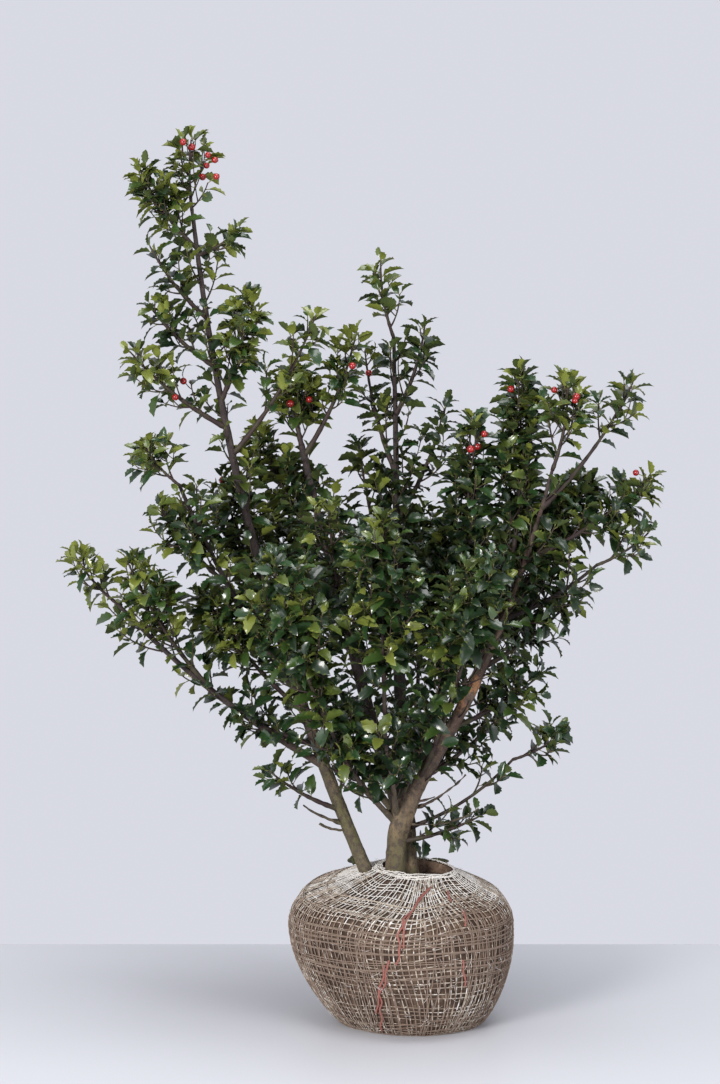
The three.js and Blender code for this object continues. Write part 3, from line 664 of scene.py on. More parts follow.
def mass_stem(mass):
    """A mass's stem, which ends short of the tip by the length of its end leaf, and its space."""
    carrier = limbs[mass.on]
    foot = carrier.point(mass.at) - carrier.heading(mass.at) * (mass.at == 1)
    target = np.array(mass.tip, float)
    reach = target - foot
    thick = np.clip(MASS_STEM["share"] * carrier.radius(mass.at), *MASS_STEM["radii"])
    tip = target - unit(reach) * MASS_STEM["end_leaf"] * LEAF_LENGTH
    stem = Bend(foot, tip, MASS_STEM["bow"] * np.linalg.norm(reach), (thick, MASS_STEM["tip"]))
    stem.bare = mass.bare
    return stem, Space(stem, target, mass.girth, mass.bare)


def side_twigs(parent, space, order, leafiness, rng):
    """Twigs along one shoot. Each grows straight until its end leaf meets the space's edge."""
    leafy = parent.length * (1 - parent.bare)
    count = int(leafy * leafiness / order["spacing"])
    twigs = []
    for number in range(count):
        t = parent.bare + (LAST_TWIG - parent.bare) * (number + rng.uniform(0.2, 0.8)) / count
        turn = np.array(number * GOLDEN_ANGLE + rng.uniform(-0.4, 0.4))
        out = parent.turned_off(t, turn, np.radians(rng.uniform(*order["angles"])))
        foot = parent.point(t)
        tries = np.arange(order["longest"])
        inside = space.reach(foot + (tries + 0.8 * LEAF_LENGTH)[:, None] * out) < 1
        length = len(tries) if inside.all() else np.argmin(inside)
        if length < order["shortest"]:
            continue
        length = length * rng.uniform(0.8, 1)
        thick = min(order["radii"][0], 0.8 * float(parent.radius(t)))
        twig = Bend(foot, foot + out * length, order["bow"] * length, (thick, order["radii"][1]))
        twig.bare = rng.uniform(0.1, 0.3)
        twigs.append(twig)
    return twigs


def leaves_along(shoot, rng):
    """Foot, heading, facing, length and rank of each leaf, counted down from the shoot's tip."""
    count = max(int(shoot.length * (1 - shoot.bare) / LEAF_SPACING), 2) + 1
    rank = np.arange(count)
    grown = np.clip(rank / FULL_RANK, 0, 1)
    distance = np.maximum(rank - 0.5, 0) * LEAF_SPACING * rng.uniform(0.8, 1.1, count)
    t = np.clip(1 - distance / shoot.length, shoot.bare * 0.8, 1)
    turn = rank * GOLDEN_ANGLE + rng.uniform(-0.35, 0.35, count) + rng.uniform(0, 6)
    angle = np.radians(between(LEAF_ANGLES, grown) + rng.uniform(-14, 14, count))
    heading = shoot.turned_off(t, turn, angle)
    foot = shoot.point(t)
    outside = unit(foot * [1, 1, 0] + [0, 0, 1e-3])
    facing = shoot.heading(t) * FACING["shoot"] + outside * FACING["outside"] + UP * FACING["up"]
    facing = facing + rng.normal(0, FACING["scatter"], (count, 3))
    size = between(LEAF_SIZES, grown) * rng.uniform(0.82, 1.12, count)
    return foot, unit(heading), facing, LEAF_LENGTH * size, rank


def clear_of_limbs(points, room):
    """True where a point is further than `room` from the skin of every limb."""
    clear = np.ones(len(points), bool)
    for bend in limbs.values():
        t = np.linspace(0, 1, int(bend.length / LIMB_STEP) + 2)
        apart = np.linalg.norm(points[:, None] - bend.point(t)[None], axis=-1)
        clear &= (apart > bend.radius(t) + room).all(axis=1)
    return clear


# %% [markdown]
# ## Sprigs, outline and light
# Limbs also bear short leafy sprigs of their own, closer together over one stretch of some of
# them. No leaf may end outside the imported model's box by more than a few millimetres. Each shoot
# gets a share of light, which is painted into its leaves' green: more in a fresh mass and higher
# up, less by a painted shade in the crown's core, and some by chance. The light picks the leaves'
# tone, from 0 for deep green to 4 for the young leaves at a shoot's tip, so the darker greens are
# partly painted shade and the paler ones partly painted light.

# %% Grow the masses and the sprigs
SPRIGS = dict(spacing=20, lowest=280, longest=66, shortest=24, angles=(30, 58), bare=0.15,
              radii=(1.3, 0.8))
CLOSE_SPRIGS = {
    "front_bough": (0, 1, 11), "front_left_bough": (0, 1, 11), "left_bough": (0, 1, 11),
    "right_side_bough": (0, 1, 11), "right_stem": (0.62, 0.86, 6), "centre_stem": (0.5, 0.74, 6),
    "centre_left_stem": (0.7, 0.95, 8),
}
NO_CLOSE_SPRIGS = (0, 0, 1)
SPRIG_START, SPRIG_END = 10, 30
# Sprigs lower than LOW_SPRIG get a smaller share of the painted light, so a darker green, than those
# higher up.
LOW_SPRIG, LOW_FRESH, HIGH_FRESH = 430, -0.15, 0.12
OUTLINE = 1000 * np.array(cad_box) + [[-4], [4]]
# Painted shade: shoots near CORE get less light, so darker greens.
SHADE, CORE, CORE_REACH = 0.34, np.array([70.0, 30, 600]), np.array([150.0, 150, 180])
LIGHT_BY_CHANCE = (0.25, 0.17)
YOUNG_RANKS, YOUNG_LIGHT = 4, 0.42
LEAF_ROOM = 4
stems = []
twigs = []
leaf_rows = []


class Leaves:
    """All leaves as columns: where each starts, its heading, its facing, its length and tone."""

    def __init__(self, rows):
        self.foot, self.heading, self.facing, self.length, self.tone = map(np.concatenate, zip(*rows))

    def along(self, share):
        """The points that lie a share of the way from each leaf's foot to its tip."""
        return self.foot + self.heading * self.length[:, None] * share

    def keep(self, mask):
        for name, column in list(vars(self).items()):
            setattr(self, name, column[mask])


def dress(shoot, fresh, inside, rng):
    """Puts leaves on a shoot. Its share of light, painted into the leaves, picks one green, and a
    paler one at its tip: light = 0.5 fresh + 0.05 (height - 300) / 800 + chance - shade, where the
    height term is painted light and shade is painted shade in the crown's core."""
    foot, heading, facing, length, rank = leaves_along(shoot, rng)
    middle = foot + heading * length[:, None] * 0.6
    end = foot + heading * length[:, None]
    keep = inside(middle, end) & clear_of_limbs(middle, LEAF_ROOM)
    keep &= ((end > OUTLINE[0]) & (end < OUTLINE[1])).all(axis=1)
    # Painted shade in the crown's core and painted light higher up, dealt as darker and paler greens.
    shade = SHADE * math.exp(-(((shoot.tip - CORE) / CORE_REACH) ** 2).sum())
    light = 0.5 * fresh + 0.05 * (shoot.tip[2] - 300) / 800 + rng.normal(*LIGHT_BY_CHANCE) - shade
    tone = np.clip(light * 5 + rng.normal(0, 1.1, len(rank)), 0, 3).astype(int)
    youngest = 4 if rng.random() < 0.6 * light + fresh * 0.4 else 3
    tone[(rank < YOUNG_RANKS) & (light > YOUNG_LIGHT)] = youngest
    leaf_rows.append((foot[keep], heading[keep], facing[keep], length[keep], tone[keep]))


def limb_sprigs(limb, close, rng):
    """Short leafy shoots that rise from the wood of a limb, a golden-angle turn apart. The limb
    may have one stretch, given as shares of its length, where they stand closer."""
    first, last, spacing = close
    places = np.arange(SPRIG_START, limb.length - SPRIG_END, SPRIGS["spacing"]) / limb.length
    places = places[(places < first) | (places > last)]
    closer = np.arange(first, last - SPRIG_END / limb.length, spacing / limb.length)
    places = np.concatenate([places, closer])
    places = np.sort(places[limb.point(places)[:, 2] > SPRIGS["lowest"]])
    sprigs = []
    for number, t in enumerate(places + rng.uniform(-0.01, 0.01, len(places))):
        turn = np.array(number * GOLDEN_ANGLE + rng.uniform(-0.5, 0.5))
        out = unit(limb.turned_off(t, turn, np.radians(rng.uniform(*SPRIGS["angles"]))) + UP * 0.3)
        length = rng.uniform(SPRIGS["shortest"], SPRIGS["longest"])
        foot = limb.point(t)
        sprigs.append(Bend(foot, foot + out * length, 0.08 * length, SPRIGS["radii"]))
        sprigs[-1].bare = SPRIGS["bare"]
    return sprigs


for number, mass in enumerate(MASSES):
    rng = np.random.default_rng([7, number])
    stem, space = mass_stem(mass)
    first = side_twigs(stem, space, TWIG_ORDERS[0], mass.leafiness, rng)
    second = [twig for parent in first
              for twig in side_twigs(parent, space, TWIG_ORDERS[1], mass.leafiness, rng)]
    for shoot in [stem, *first, *second]:
        dress(shoot, mass.fresh, space.holds, rng)
    stems.append(stem)
    twigs += [*first, *second]
for number, (name, limb) in enumerate(limbs.items()):
    rng = np.random.default_rng([8, number])
    if name != "trunk":
        sprigs = limb_sprigs(limb, CLOSE_SPRIGS.get(name, NO_CLOSE_SPRIGS), rng)
        for sprig in sprigs:
            fresh = HIGH_FRESH if sprig.tip[2] > LOW_SPRIG else LOW_FRESH
            dress(sprig, fresh, lambda middles, ends: True, rng)
        twigs += sprigs
shoots = stems + twigs
leaves = Leaves(leaf_rows)
print("shoots", len(shoots), "leaves", len(leaves.foot), "by tone", np.bincount(leaves.tone))

# %% [markdown]
# ## Stems that show through the leaves
# Seen from the front, the photo shows long stretches of the main stems between the leaves. A leaf
# that would cover such a stretch is left out, apart from a few: the list gives the stretch of
# each stem as shares of its length, and the share of covering leaves that may stay.

# %% Leaves in front of stems
SHOWN_STEMS = (
    ("trunk", 0.4, 1, 0.05), ("right_stem", 0, 0.62, 0.08), ("right_stem", 0.62, 0.85, 0.65),
    ("leader_stem", 0, 0.24, 0.25), ("leader_stem", 0.24, 0.9, 0.75),
    ("centre_left_stem", 0.5, 0.82, 0.45), ("centre_stem", 0.8, 0.95, 0.6),
)
STEM_MARGIN = 3


def as_seen(points):
    """Where each point's line of sight crosses depth 0: eye + (point - eye) distance / depth."""
    depth = CAMERA.distance + points[..., 1:2]
    return EYE + (points[..., [0, 2]] - EYE) * CAMERA.distance / depth


def covers(stem, first, last, points):
    """True where a point stands in front of the stretch of stem from first to last."""
    t = np.linspace(first, last, 60)
    route = stem.point(t)
    apart = np.linalg.norm(as_seen(points)[:, None] - as_seen(route)[None], axis=-1) - stem.radius(t)
    near = apart.argmin(axis=1)
    return (apart.min(axis=1) < STEM_MARGIN) & (points[:, 1] < route[near, 1])


rng = np.random.default_rng(17)
shown = np.ones(len(leaves.foot), bool)
for name, first, last, share in SHOWN_STEMS:
    hidden = np.zeros(len(leaves.foot), bool)
    for along in (0.25, 0.6, 0.95):
        hidden |= covers(limbs[name], first, last, leaves.along(along))
    shown &= ~hidden | (rng.random(len(hidden)) < share)
leaves.keep(shown)
print("leaves in front of stems left out", np.count_nonzero(~shown))

# %% [markdown]
# ## Where the berries hang
# Those berries that the photo shows are listed by where they are seen, across and up. A place
# is moved to the depth of the nearest shoot along the camera's line of sight, the berry hangs
# there on its stalk, and leaves that would stand in front of it are left out. A few more berries
# hang at the back, which the photo doesn't show.

# %% Berry places
BERRY_RADIUS = 4.5
BERRIES = (
    (-230, 1083), (-233, 1071), (-253, 1090), (-255, 1077), (-273, 1100), (-260, 1063), (-284, 1106),
    (-295, 790), (-285, 810), (-74, 829), (-54, 820), (-152, 782), (-128, 787), (124, 800),
    (178, 799), (204, 786), (206, 791), (91, 744), (82, 728), (74, 725), (275, 698),
)
BERRY_STALK = (7, 14)
BERRY_ROOM = dict(aside=15, behind=4)
NEARNESS = 0.06
HIDDEN = SimpleNamespace(count=60, behind=30, above=560, stalk=9)
samples = np.concatenate([shoot.point(np.linspace(0.1, 0.98, 24)) for shoot in shoots])


def at_depth(place, depth):
    """Where a line of sight through (across, up) at depth 0 passes: the camera + the way to the
    place times (distance + depth) / distance."""
    seen = EYE + (np.array(place) - EYE) * (CAMERA.distance + depth) / CAMERA.distance
    return np.array([seen[0], depth, seen[1]])


def hang(place):
    """The twig end of a berry's stalk and the berry's middle, a little nearer to the viewer.
    The twig is the one that is closest as seen, and of two such twigs the nearer one."""
    apart = np.hypot(samples[:, 0] - place[0], samples[:, 2] - place[1])
    twig_point = samples[np.argmin(apart + NEARNESS * (samples[:, 1] + 200))]
    reach = at_depth(place, twig_point[1] - 6) - twig_point
    return twig_point, twig_point + unit(reach) * np.clip(np.linalg.norm(reach), *BERRY_STALK)


def uncovers(berry, points):
    """True where a point doesn't stand between the viewer and the berry."""
    aside = np.hypot(points[:, 0] - berry[0], points[:, 2] - berry[2])
    return (aside > BERRY_ROOM["aside"]) | (points[:, 1] > berry[1] + BERRY_ROOM["behind"])


rng = np.random.default_rng(101)
hung = np.array([hang(place) for place in BERRIES])
shown = np.ones(len(leaves.foot), bool)
for berry in hung[:, 1]:
    shown &= uncovers(berry, leaves.along(0.6))
leaves.keep(shown)
extra = samples[rng.choice(len(samples), HIDDEN.count, replace=False)]
extra = extra[(extra[:, 1] > HIDDEN.behind) & (extra[:, 2] > HIDDEN.above)]
away = unit(rng.normal(size=extra.shape) + extra * [0.01, 0.01, 0]) * HIDDEN.stalk
hung = np.concatenate([hung, np.stack([extra, extra + away], axis=1)])
print("berries", len(hung), "leaves left out", np.count_nonzero(~shown))

# %% [markdown]
# ## Twigs
# The stems of the masses are one mesh and all twigs another: their bends are stacked into arrays,
# so one call draws every ring of every twig. The leaf stalks are a set of short tubes too, from
# the twig's middle to the blade.

# %% Twig and stalk meshes
STALK = 4.0
STALK_OVERLAP = 2
STALK_RADII = (0.75, 0.5)


def shoot_piece(name, bends, rings, sides, look, replaced=()):
    """Tubes along many shoots at once, each a little thicker at its knots."""
    t = np.linspace(0, 1, rings)
    centres = np.stack([bend.point(t) for bend in bends])
    ups = np.stack([bend.up(t) for bend in bends])
    rights = np.broadcast_to(np.stack([bend.right for bend in bends])[:, None], centres.shape)
    radii = np.stack([bend.radius(t) for bend in bends])
    ring, shoot = np.arange(rings)[:, None], np.arange(len(bends))[:, None, None]
    knots = 1 + 0.12 * np.sin(ring * 2.4 + shoot)
    new_piece(name, *tubes(centres, rights, ups, radii, sides, knots), [look], "bark", replaced)


def stalks_piece(name, ends, right, heading, radii, sides):
    """Straight stalks as one mesh, each from the first to the second of its ends."""
    across = np.repeat(right[:, None], 2, axis=1)
    up = np.repeat(np.cross(right, heading)[:, None], 2, axis=1)
    radii = np.broadcast_to(radii, (len(ends), 2))
    new_piece(name, *tubes(ends, across, up, radii, sides), [stalk_skin], "foliage")


shoot_piece("leafy_stems", stems, rings=22, sides=9, look=twig_skin,
            replaced=[mass.name + "_foliage" for mass in MASSES])
shoot_piece("twigs", twigs, rings=7, sides=5, look=twig_skin)

leaf_right = unit(np.cross(leaves.heading, leaves.facing))
leaf_up = np.cross(leaf_right, leaves.heading)
blade_foot = leaves.foot + leaves.heading * STALK
stalk_ends = np.stack([leaves.foot, blade_foot + leaves.heading * STALK_OVERLAP], axis=1)
stalk_skin = Look("stalk_skin", (0.17, 0.17, 0.05), 0.5)
stalks_piece("leaf_stalks", stalk_ends, leaf_right, leaves.heading, STALK_RADII, sides=3)

# %% [markdown]
# ## One leaf
# A holly leaf is stiff, glossy and wavy: its margin runs out to a few spines a side that turn up
# while the bays between them turn down, the blade folds at the midrib, and each field between
# two veins bulges. The blade is a grid of five columns by seven rows, closed by one point at its
# foot and one at its tip, and a duller sheet underneath shares its margin. The two sheets meet at
# a sharp edge.

# %% The leaf's shape
SPINES = 3
ROWS = 2 * SPINES + 1
LEAF_WIDTH = 0.59
ACROSS = np.array([-1.0, -0.5, 0.0, 0.5, 1.0])
COLUMNS = len(ACROSS)
EDGE = COLUMNS - 1
SPINE = dict(width=0.1, length=0.035)
BULGE, THICKNESS = 0.016, 0.014


def leaf_shape(wave, fold, curl, twist, seed):
    """Across, along and up for one leaf of length 1. The half width is sin(pi u^0.95)^0.52, a
    little wider at each spine and narrower in each bay. Up is fold |v| plus a wave at the margin,
    up at the spines and down in the bays. The blade then turns by twist u, and sinks by curl u^2."""
    rng = np.random.default_rng(seed)
    row = np.arange(1, ROWS + 1)
    spine = np.where(row % 2 == 0, 1.0, -1.0)[:, None]
    u = (1 - (1 - row / (ROWS + 1)) ** 1.25 + rng.uniform(-0.01, 0.01, ROWS))[:, None]
    half = 0.5 * LEAF_WIDTH * np.sin(math.pi * u**0.95) ** 0.52 * (1 + SPINE["width"] * spine)
    reach = np.abs(ACROSS)
    across = half * ACROSS * (1 + rng.uniform(-0.03, 0.03, (ROWS, COLUMNS)))
    along = u + SPINE["length"] * reach**2 * np.maximum(spine, 0)
    margin = wave * reach**2 * (spine + rng.uniform(-0.4, 0.4, (ROWS, COLUMNS)))
    height = fold * reach * half + margin + BULGE * (reach == 0.5)
    turn = twist * (u - 0.2)
    x = across * np.cos(turn) - height * np.sin(turn)
    z = across * np.sin(turn) + height * np.cos(turn) - curl * u**2
    top = np.stack([x, along, z], axis=-1).reshape(-1, 3)
    ends = np.array([[0, 0, 0], [0, 1.03, -1.15 * curl]])
    under = np.stack([0 * u[:, 0], u[:, 0], -curl * u[:, 0] ** 2 - THICKNESS], axis=-1)
    return np.concatenate([top, ends, under])


FOOT = COLUMNS * ROWS
TIP, UNDER = FOOT + 1, FOOT + 2


def leaf_faces():
    """Quads and triangles of a leaf, each with those of the upper sheet first and their number."""
    row, column = np.meshgrid(np.arange(ROWS - 1), np.arange(EDGE), indexing="ij")
    low = (COLUMNS * row + column).ravel()
    top = np.stack([low, low + 1, low + COLUMNS + 1, low + COLUMNS], axis=-1)
    k = np.arange(ROWS - 1)
    start, end = COLUMNS * k, COLUMNS * k + EDGE
    left = np.stack([start, start + COLUMNS, UNDER + k + 1, UNDER + k], axis=-1)
    right = np.stack([end, UNDER + k, UNDER + k + 1, end + COLUMNS], axis=-1)
    c = np.arange(EDGE)
    last = COLUMNS * (ROWS - 1)
    top_ends = np.concatenate([np.stack([c + 1, c, np.full(EDGE, FOOT)], axis=-1),
                               np.stack([last + c, last + c + 1, np.full(EDGE, TIP)], axis=-1)])
    under_ends = [[0, UNDER, FOOT], [UNDER, EDGE, FOOT],
                  [UNDER + ROWS - 1, last, TIP], [last + EDGE, UNDER + ROWS - 1, TIP]]
    return (np.concatenate([top, left, right]), len(top),
            np.concatenate([top_ends, under_ends]), len(top_ends))


LEAF_FORMS = (
    (0.012, 0.40, 0.28, 0.2), (0.016, 0.30, 0.40, -0.3), (0.010, 0.55, 0.20, 0.1),
    (0.018, 0.35, 0.36, 0.4), (0.014, 0.22, 0.50, -0.2), (0.014, 0.45, 0.14, -0.1),
    (0.017, 0.60, 0.34, 0.1), (0.014, 0.28, 0.45, -0.4),
)
SHAPES = np.stack([leaf_shape(*form, seed) for seed, form in enumerate(LEAF_FORMS)])

# %% [markdown]
# ## Leaf colours
# The greens have a place on the shrub: young leaves at the shoot tips are yellow-green, the
# outside of the crown is paler and the inside deep, which is painted light and shade. A pattern
# would slide about on a mesh of two thousand leaves, so each spray is dealt one plain green instead.

# %% Leaf finishes and leaves
PALE_UNDERSIDE = Look("pale_leaf_underside", (0.160, 0.185, 0.032), 0.6, specular_ior_level=0.25)
DULL_UNDERSIDE = Look("dull_leaf_underside", (0.060, 0.082, 0.022), 0.6, specular_ior_level=0.25)
# From deep to fresh, these greens are partly the leaves' own tone and partly painted shade and painted
# light, picked by each shoot's share of light.
GREENS = {
    "deep": (0.012, 0.026, 0.011),
    "dark": (0.017, 0.046, 0.013),
    "middle": (0.037, 0.072, 0.015),
    "fresh": (0.076, 0.104, 0.021),
    "young": (0.145, 0.170, 0.030),
}
LEAVES_IN_PIECE = 2200
leaf_looks = {}
for tone, green in GREENS.items():
    # The deep green, partly painted shade, also gets a thinner coat.
    coat = 0.25 if tone == "deep" else 0.5
    look = Look(f"{tone}_leaf", green, 0.3, coat_weight=coat, coat_roughness=0.14)
    look.feed("Roughness", 0.25 + 0.12 * look.noise(90))
    look.bump(look.noise(260), strength=0.12, distance=0.0006)
    leaf_looks[tone] = look


def mark_margins(piece, rim):
    """Makes an edge sharp where both of its ends lie on a leaf's margin."""
    edges = piece.data.edges
    ends = np.empty(2 * len(edges), np.int32)
    edges.foreach_get("vertices", ends)
    sharp = rim[ends.reshape(-1, 2)].all(axis=1)
    piece.data.attributes.new("sharp_edge", "BOOLEAN", "EDGE").data.foreach_set("value", sharp)


def leaf_piece(tone, part, chosen):
    """Leaves of one green: blade foot + length (across right + along heading + up)."""
    rng = np.random.default_rng(part)
    count = len(chosen)
    shape = SHAPES[rng.integers(0, len(SHAPES), count)] * leaves.length[chosen, None, None]
    shape[..., 0] *= rng.uniform(0.85, 1.12, count)[:, None]
    axes = np.stack([leaf_right[chosen], leaves.heading[chosen], leaf_up[chosen]], axis=1)
    points = blade_foot[chosen, None] + np.einsum("nvk,nkd->nvd", shape, axes)
    quads, top_quads, triangles, top_triangles = leaf_faces()
    shift = (np.arange(count) * SHAPES.shape[1])[:, None, None]
    numbers = np.concatenate([np.tile(np.arange(len(quads)) >= top_quads, count),
                              np.tile(np.arange(len(triangles)) >= top_triangles, count)])
    # The dull underside goes with the deep, dark and middle greens, and so shares their painted shade.
    underside = PALE_UNDERSIDE if tone in ("fresh", "young") else DULL_UNDERSIDE
    piece = new_piece(f"{tone}_leaves_{part}", points.reshape(-1, 3), (quads + shift).reshape(-1, 4),
                      (triangles + shift).reshape(-1, 3), [leaf_looks[tone], underside],
                      "young_foliage" if tone == "young" else "foliage", (), numbers)
    column = np.arange(SHAPES.shape[1])
    rim = (column < FOOT) & np.isin(column % COLUMNS, (0, EDGE)) | np.isin(column, (FOOT, TIP))
    mark_margins(piece, np.tile(rim, count))


for number, tone in enumerate(GREENS):
    of_tone = np.flatnonzero(leaves.tone == number)
    for part, chosen in enumerate(np.array_split(of_tone, len(of_tone) // LEAVES_IN_PIECE + 1)):
        leaf_piece(tone, part + 1, chosen)

# %% [markdown]
# ## The root ball
# The soil was lifted with the roots and wrapped in open jute netting, which is drawn together
# round the stems. One formula gives the ball's skin, and the soil, the strands and the hole all
# read it: below its widest ring the radius is a rising sine, above it a superellipse, with a few
# broad lumps, and near the top the rings change into the oval of the hole.

# %% The ball's skin
BALL = SimpleNamespace(height=196, girth=142, girth_height=122, foot=88, lean=-13, tilt=0.14,
                       fullness=0.8, roundness=2.2)
DOME_HEIGHT = BALL.height - BALL.girth_height
BALL_LUMPS = ((2, 0.022, 0.3, 0), (3, 0.013, 0, 1 / 40), (5, 0.011, 0, 0))
HOLE = SimpleNamespace(x=9, y=6, length=45, depth=34)
GATHER_HEIGHT = 160
RIM_HEIGHT = 191
CELL = 8.4


def ball_lump(angle, height):
    """1 plus waves of a few bulges round the ball."""
    return 1 + sum(size * np.sin(-lobes * angle - turn - twist * height)
                   for lobes, size, turn, twist in BALL_LUMPS)


def dome(share):
    """A superellipse that falls from 1 to 0: (1 - share^n)^(1/n), with n the ball's roundness."""
    return (1 - share ** BALL.roundness) ** (1 / BALL.roundness)


def ball_radius(height):
    """foot + (girth - foot) sin^0.8 below the widest ring, and a superellipse above it."""
    low = np.clip(height / BALL.girth_height, 0, 1)
    below = BALL.foot + (BALL.girth - BALL.foot) * np.sin(math.pi / 2 * low) ** BALL.fullness
    above = BALL.girth * dome(np.clip((height - BALL.girth_height) / DOME_HEIGHT, 0, 1))
    return np.where(height < BALL.girth_height, below, above)


def ball_skin(angle, height):
    """A point of the ball for an angle round it and a ring's height. Above GATHER_HEIGHT the
    round ring turns into the oval of the hole, and the point is lifted back onto the dome. The
    top slopes up towards the back by tilt times y."""
    lump = ball_lump(angle, height)
    ring = ball_radius(height) * lump
    lean = BALL.lean * np.clip(height / BALL.girth_height, 0, 1)
    blend = rise(height, GATHER_HEIGHT, RIM_HEIGHT)
    x = (ring * np.cos(angle) + lean) * (1 - blend) + (HOLE.x + HOLE.length * np.cos(angle)) * blend
    y = ring * np.sin(angle) * (1 - blend) + (HOLE.y + HOLE.depth * np.sin(angle)) * blend
    out = np.hypot(x - BALL.lean, y) / lump / BALL.girth
    on_dome = BALL.girth_height + DOME_HEIGHT * dome(np.clip(out, 0, 1))
    z = height * (1 - blend) + on_dome * blend
    top = np.clip((z - BALL.girth_height) / DOME_HEIGHT, 0, 1)
    return np.stack([x, y, z + BALL.tilt * top * y], axis=-1)


ring_heights = np.concatenate([np.linspace(0, 150, 300), np.linspace(150, RIM_HEIGHT, 300)[1:]])
meridian = ball_skin(np.linspace(0, math.tau, 24, endpoint=False)[:, None], ring_heights)
distances = np.linalg.norm(np.diff(meridian, axis=1), axis=-1).mean(axis=0).cumsum()
distances = np.concatenate([[0], distances])
SKIN_LENGTH = distances[-1]
print("skin from foot to hole", round(SKIN_LENGTH), "mm")


def skin_point(angle, distance, lift=0.0):
    """The ball's skin at an angle and a distance up it from the foot, raised along its normal."""
    def place(a, d):
        return ball_skin(a, np.interp(d, distances, ring_heights))

    here = place(angle, distance)
    across = place(angle + 0.01, distance) - here
    above, below = np.minimum(distance + 1, SKIN_LENGTH), np.minimum(distance, SKIN_LENGTH - 1)
    normal = unit(np.cross(across, place(angle, above) - place(angle, below)))
    return here + normal * np.asarray(lift)[..., None], normal


# %% [markdown]
# ## Soil
# The netting presses into damp soil, so the soil bulges a little in every mesh of the net. The
# same two gentle warps move the strands and the bulges: `sway` turns a strand sideways and `dip`
# moves a ring up or down. Inside the hole the skin drops to the soil that the stems stand in.

# %% Soil surface
MERIDIANS = 132
sway_waves = ripples(21, count=9, around=7, along=45.0)
dip_waves = ripples(22, count=9, around=7, along=45.0)
crumbs = ripples(23, count=24, around=40, along=5.0)


def sway(angle, distance):
    gather = rise(distance, 0.55 * SKIN_LENGTH, SKIN_LENGTH)
    return 0.034 * sway_waves(angle, distance) + 0.16 * gather * np.sin(3 * angle + 1)


def dip(angle, distance):
    return 4.5 * dip_waves(angle, distance)


def soil_points(columns, rows):
    """Rows of points from the middle of the underside, up the skin, over the rim and into the
    hole: along the skin, raised by 0.9 |sin| |sin| in each mesh of the net less 1.6 mm."""
    angle = angles_round(columns)
    distance = np.linspace(0, SKIN_LENGTH, rows)[:, None]
    across_mesh = np.abs(np.sin(MERIDIANS / 2 * (angle - sway(angle, distance))))
    up_mesh = np.abs(np.sin(math.pi * (distance - dip(angle, distance)) / CELL))
    bulge = 0.9 * across_mesh * up_mesh - 1.6 + 0.4 * crumbs(angle, distance)
    skin, _ = skin_point(angle, distance, bulge * rise(distance, 0, 12))
    foot = skin[:1]
    shares = np.linspace(0.15, 0.9, 5)[:, None, None]
    under = foot * shares * [1, 1, 0]
    rim = skin[-1:]
    centre = np.array([HOLE.x, HOLE.y, 0.0])
    inward = np.linspace(0.97, 0.06, 34)[:, None, None]
    floor = centre + (rim - centre) * inward * [1, 1, 0]
    depth = rise(1 - inward[..., 0], 0.0, 0.14)
    level = SOIL + 1.2 * crumbs(3 * angle, 400 * inward[..., 0])
    floor[..., 2] = rim[..., 2] * (1 - depth) + level * depth
    skin[..., 2] = np.maximum(skin[..., 2], 0)
    return np.concatenate([under, skin, floor])


soil_look = Look("soil", (0.085, 0.052, 0.034), 0.95)
clods = soil_look.noise(38, 6, roughness=0.7)
grit = soil_look.noise(420, 3)
damp = soil_look.mix(clods.step(0.35, 0.7), (0.042, 0.024, 0.016), (0.145, 0.092, 0.062))
fibres = soil_look.noise(160, 4, stretch=(1, 1, 0.25)).step(0.56, 0.74)
soil_look.feed("Base Color", soil_look.mix(fibres * 0.55, damp, (0.27, 0.20, 0.14)))
soil_look.bump(grit + clods, strength=0.8, distance=0.0025)

soil_grid = soil_points(416, 150)
ends = np.array([[0, 0, 0], [HOLE.x, HOLE.y, SOIL]], float)
new_piece("soil_ball", np.concatenate([soil_grid.reshape(-1, 3), ends]),
          *tube_faces(1, *soil_grid.shape[:2]), [soil_look], "soil", ["root_ball"])

# %% [markdown]
# ## Netting
# A strand of jute is a thin flat yarn that lies on the skin. The upright strands run from under
# the ball to the hole, the rings run round it, and a second, looser layer crosses them lower
# down where the net was folded over. Clean yarn is off-white, and soil stains it lower down,
# though the foot is kept a little paler, partly painted light from the floor, so each short
# length of yarn is dealt one of three plain colours by its height.

# %% Strands on the skin
FLAT_YARN = (1.25, 0.75)
LOWEST_YARN = 0.7


def yarn_look(name, colour, roughness):
    look = Look(name, colour, roughness)
    look.bump(look.noise(900, 2), strength=0.5, distance=0.0004)
    return look


YARNS = [
    yarn_look("pale_yarn", (0.74, 0.71, 0.67), 0.9),
    yarn_look("cream_yarn", (0.46, 0.39, 0.32), 0.92),
    yarn_look("dusty_yarn", (0.235, 0.170, 0.130), 0.95),
]


def strands(angle, distance, lift, width, seed):
    """Yarns along paths on the skin, given as arrays of one row for each yarn."""
    rng = np.random.default_rng(seed)
    centres, normals = skin_point(angle, distance, lift)
    centres[..., 2] = np.maximum(centres[..., 2], LOWEST_YARN)
    heading = unit(np.gradient(centres, axis=1))
    right = unit(np.cross(heading, normals))
    radii = width * rng.uniform(0.75, 1.25, centres.shape[:2])
    return tubes(centres, right * FLAT_YARN[0], np.cross(right, heading) * FLAT_YARN[1], radii, 4)


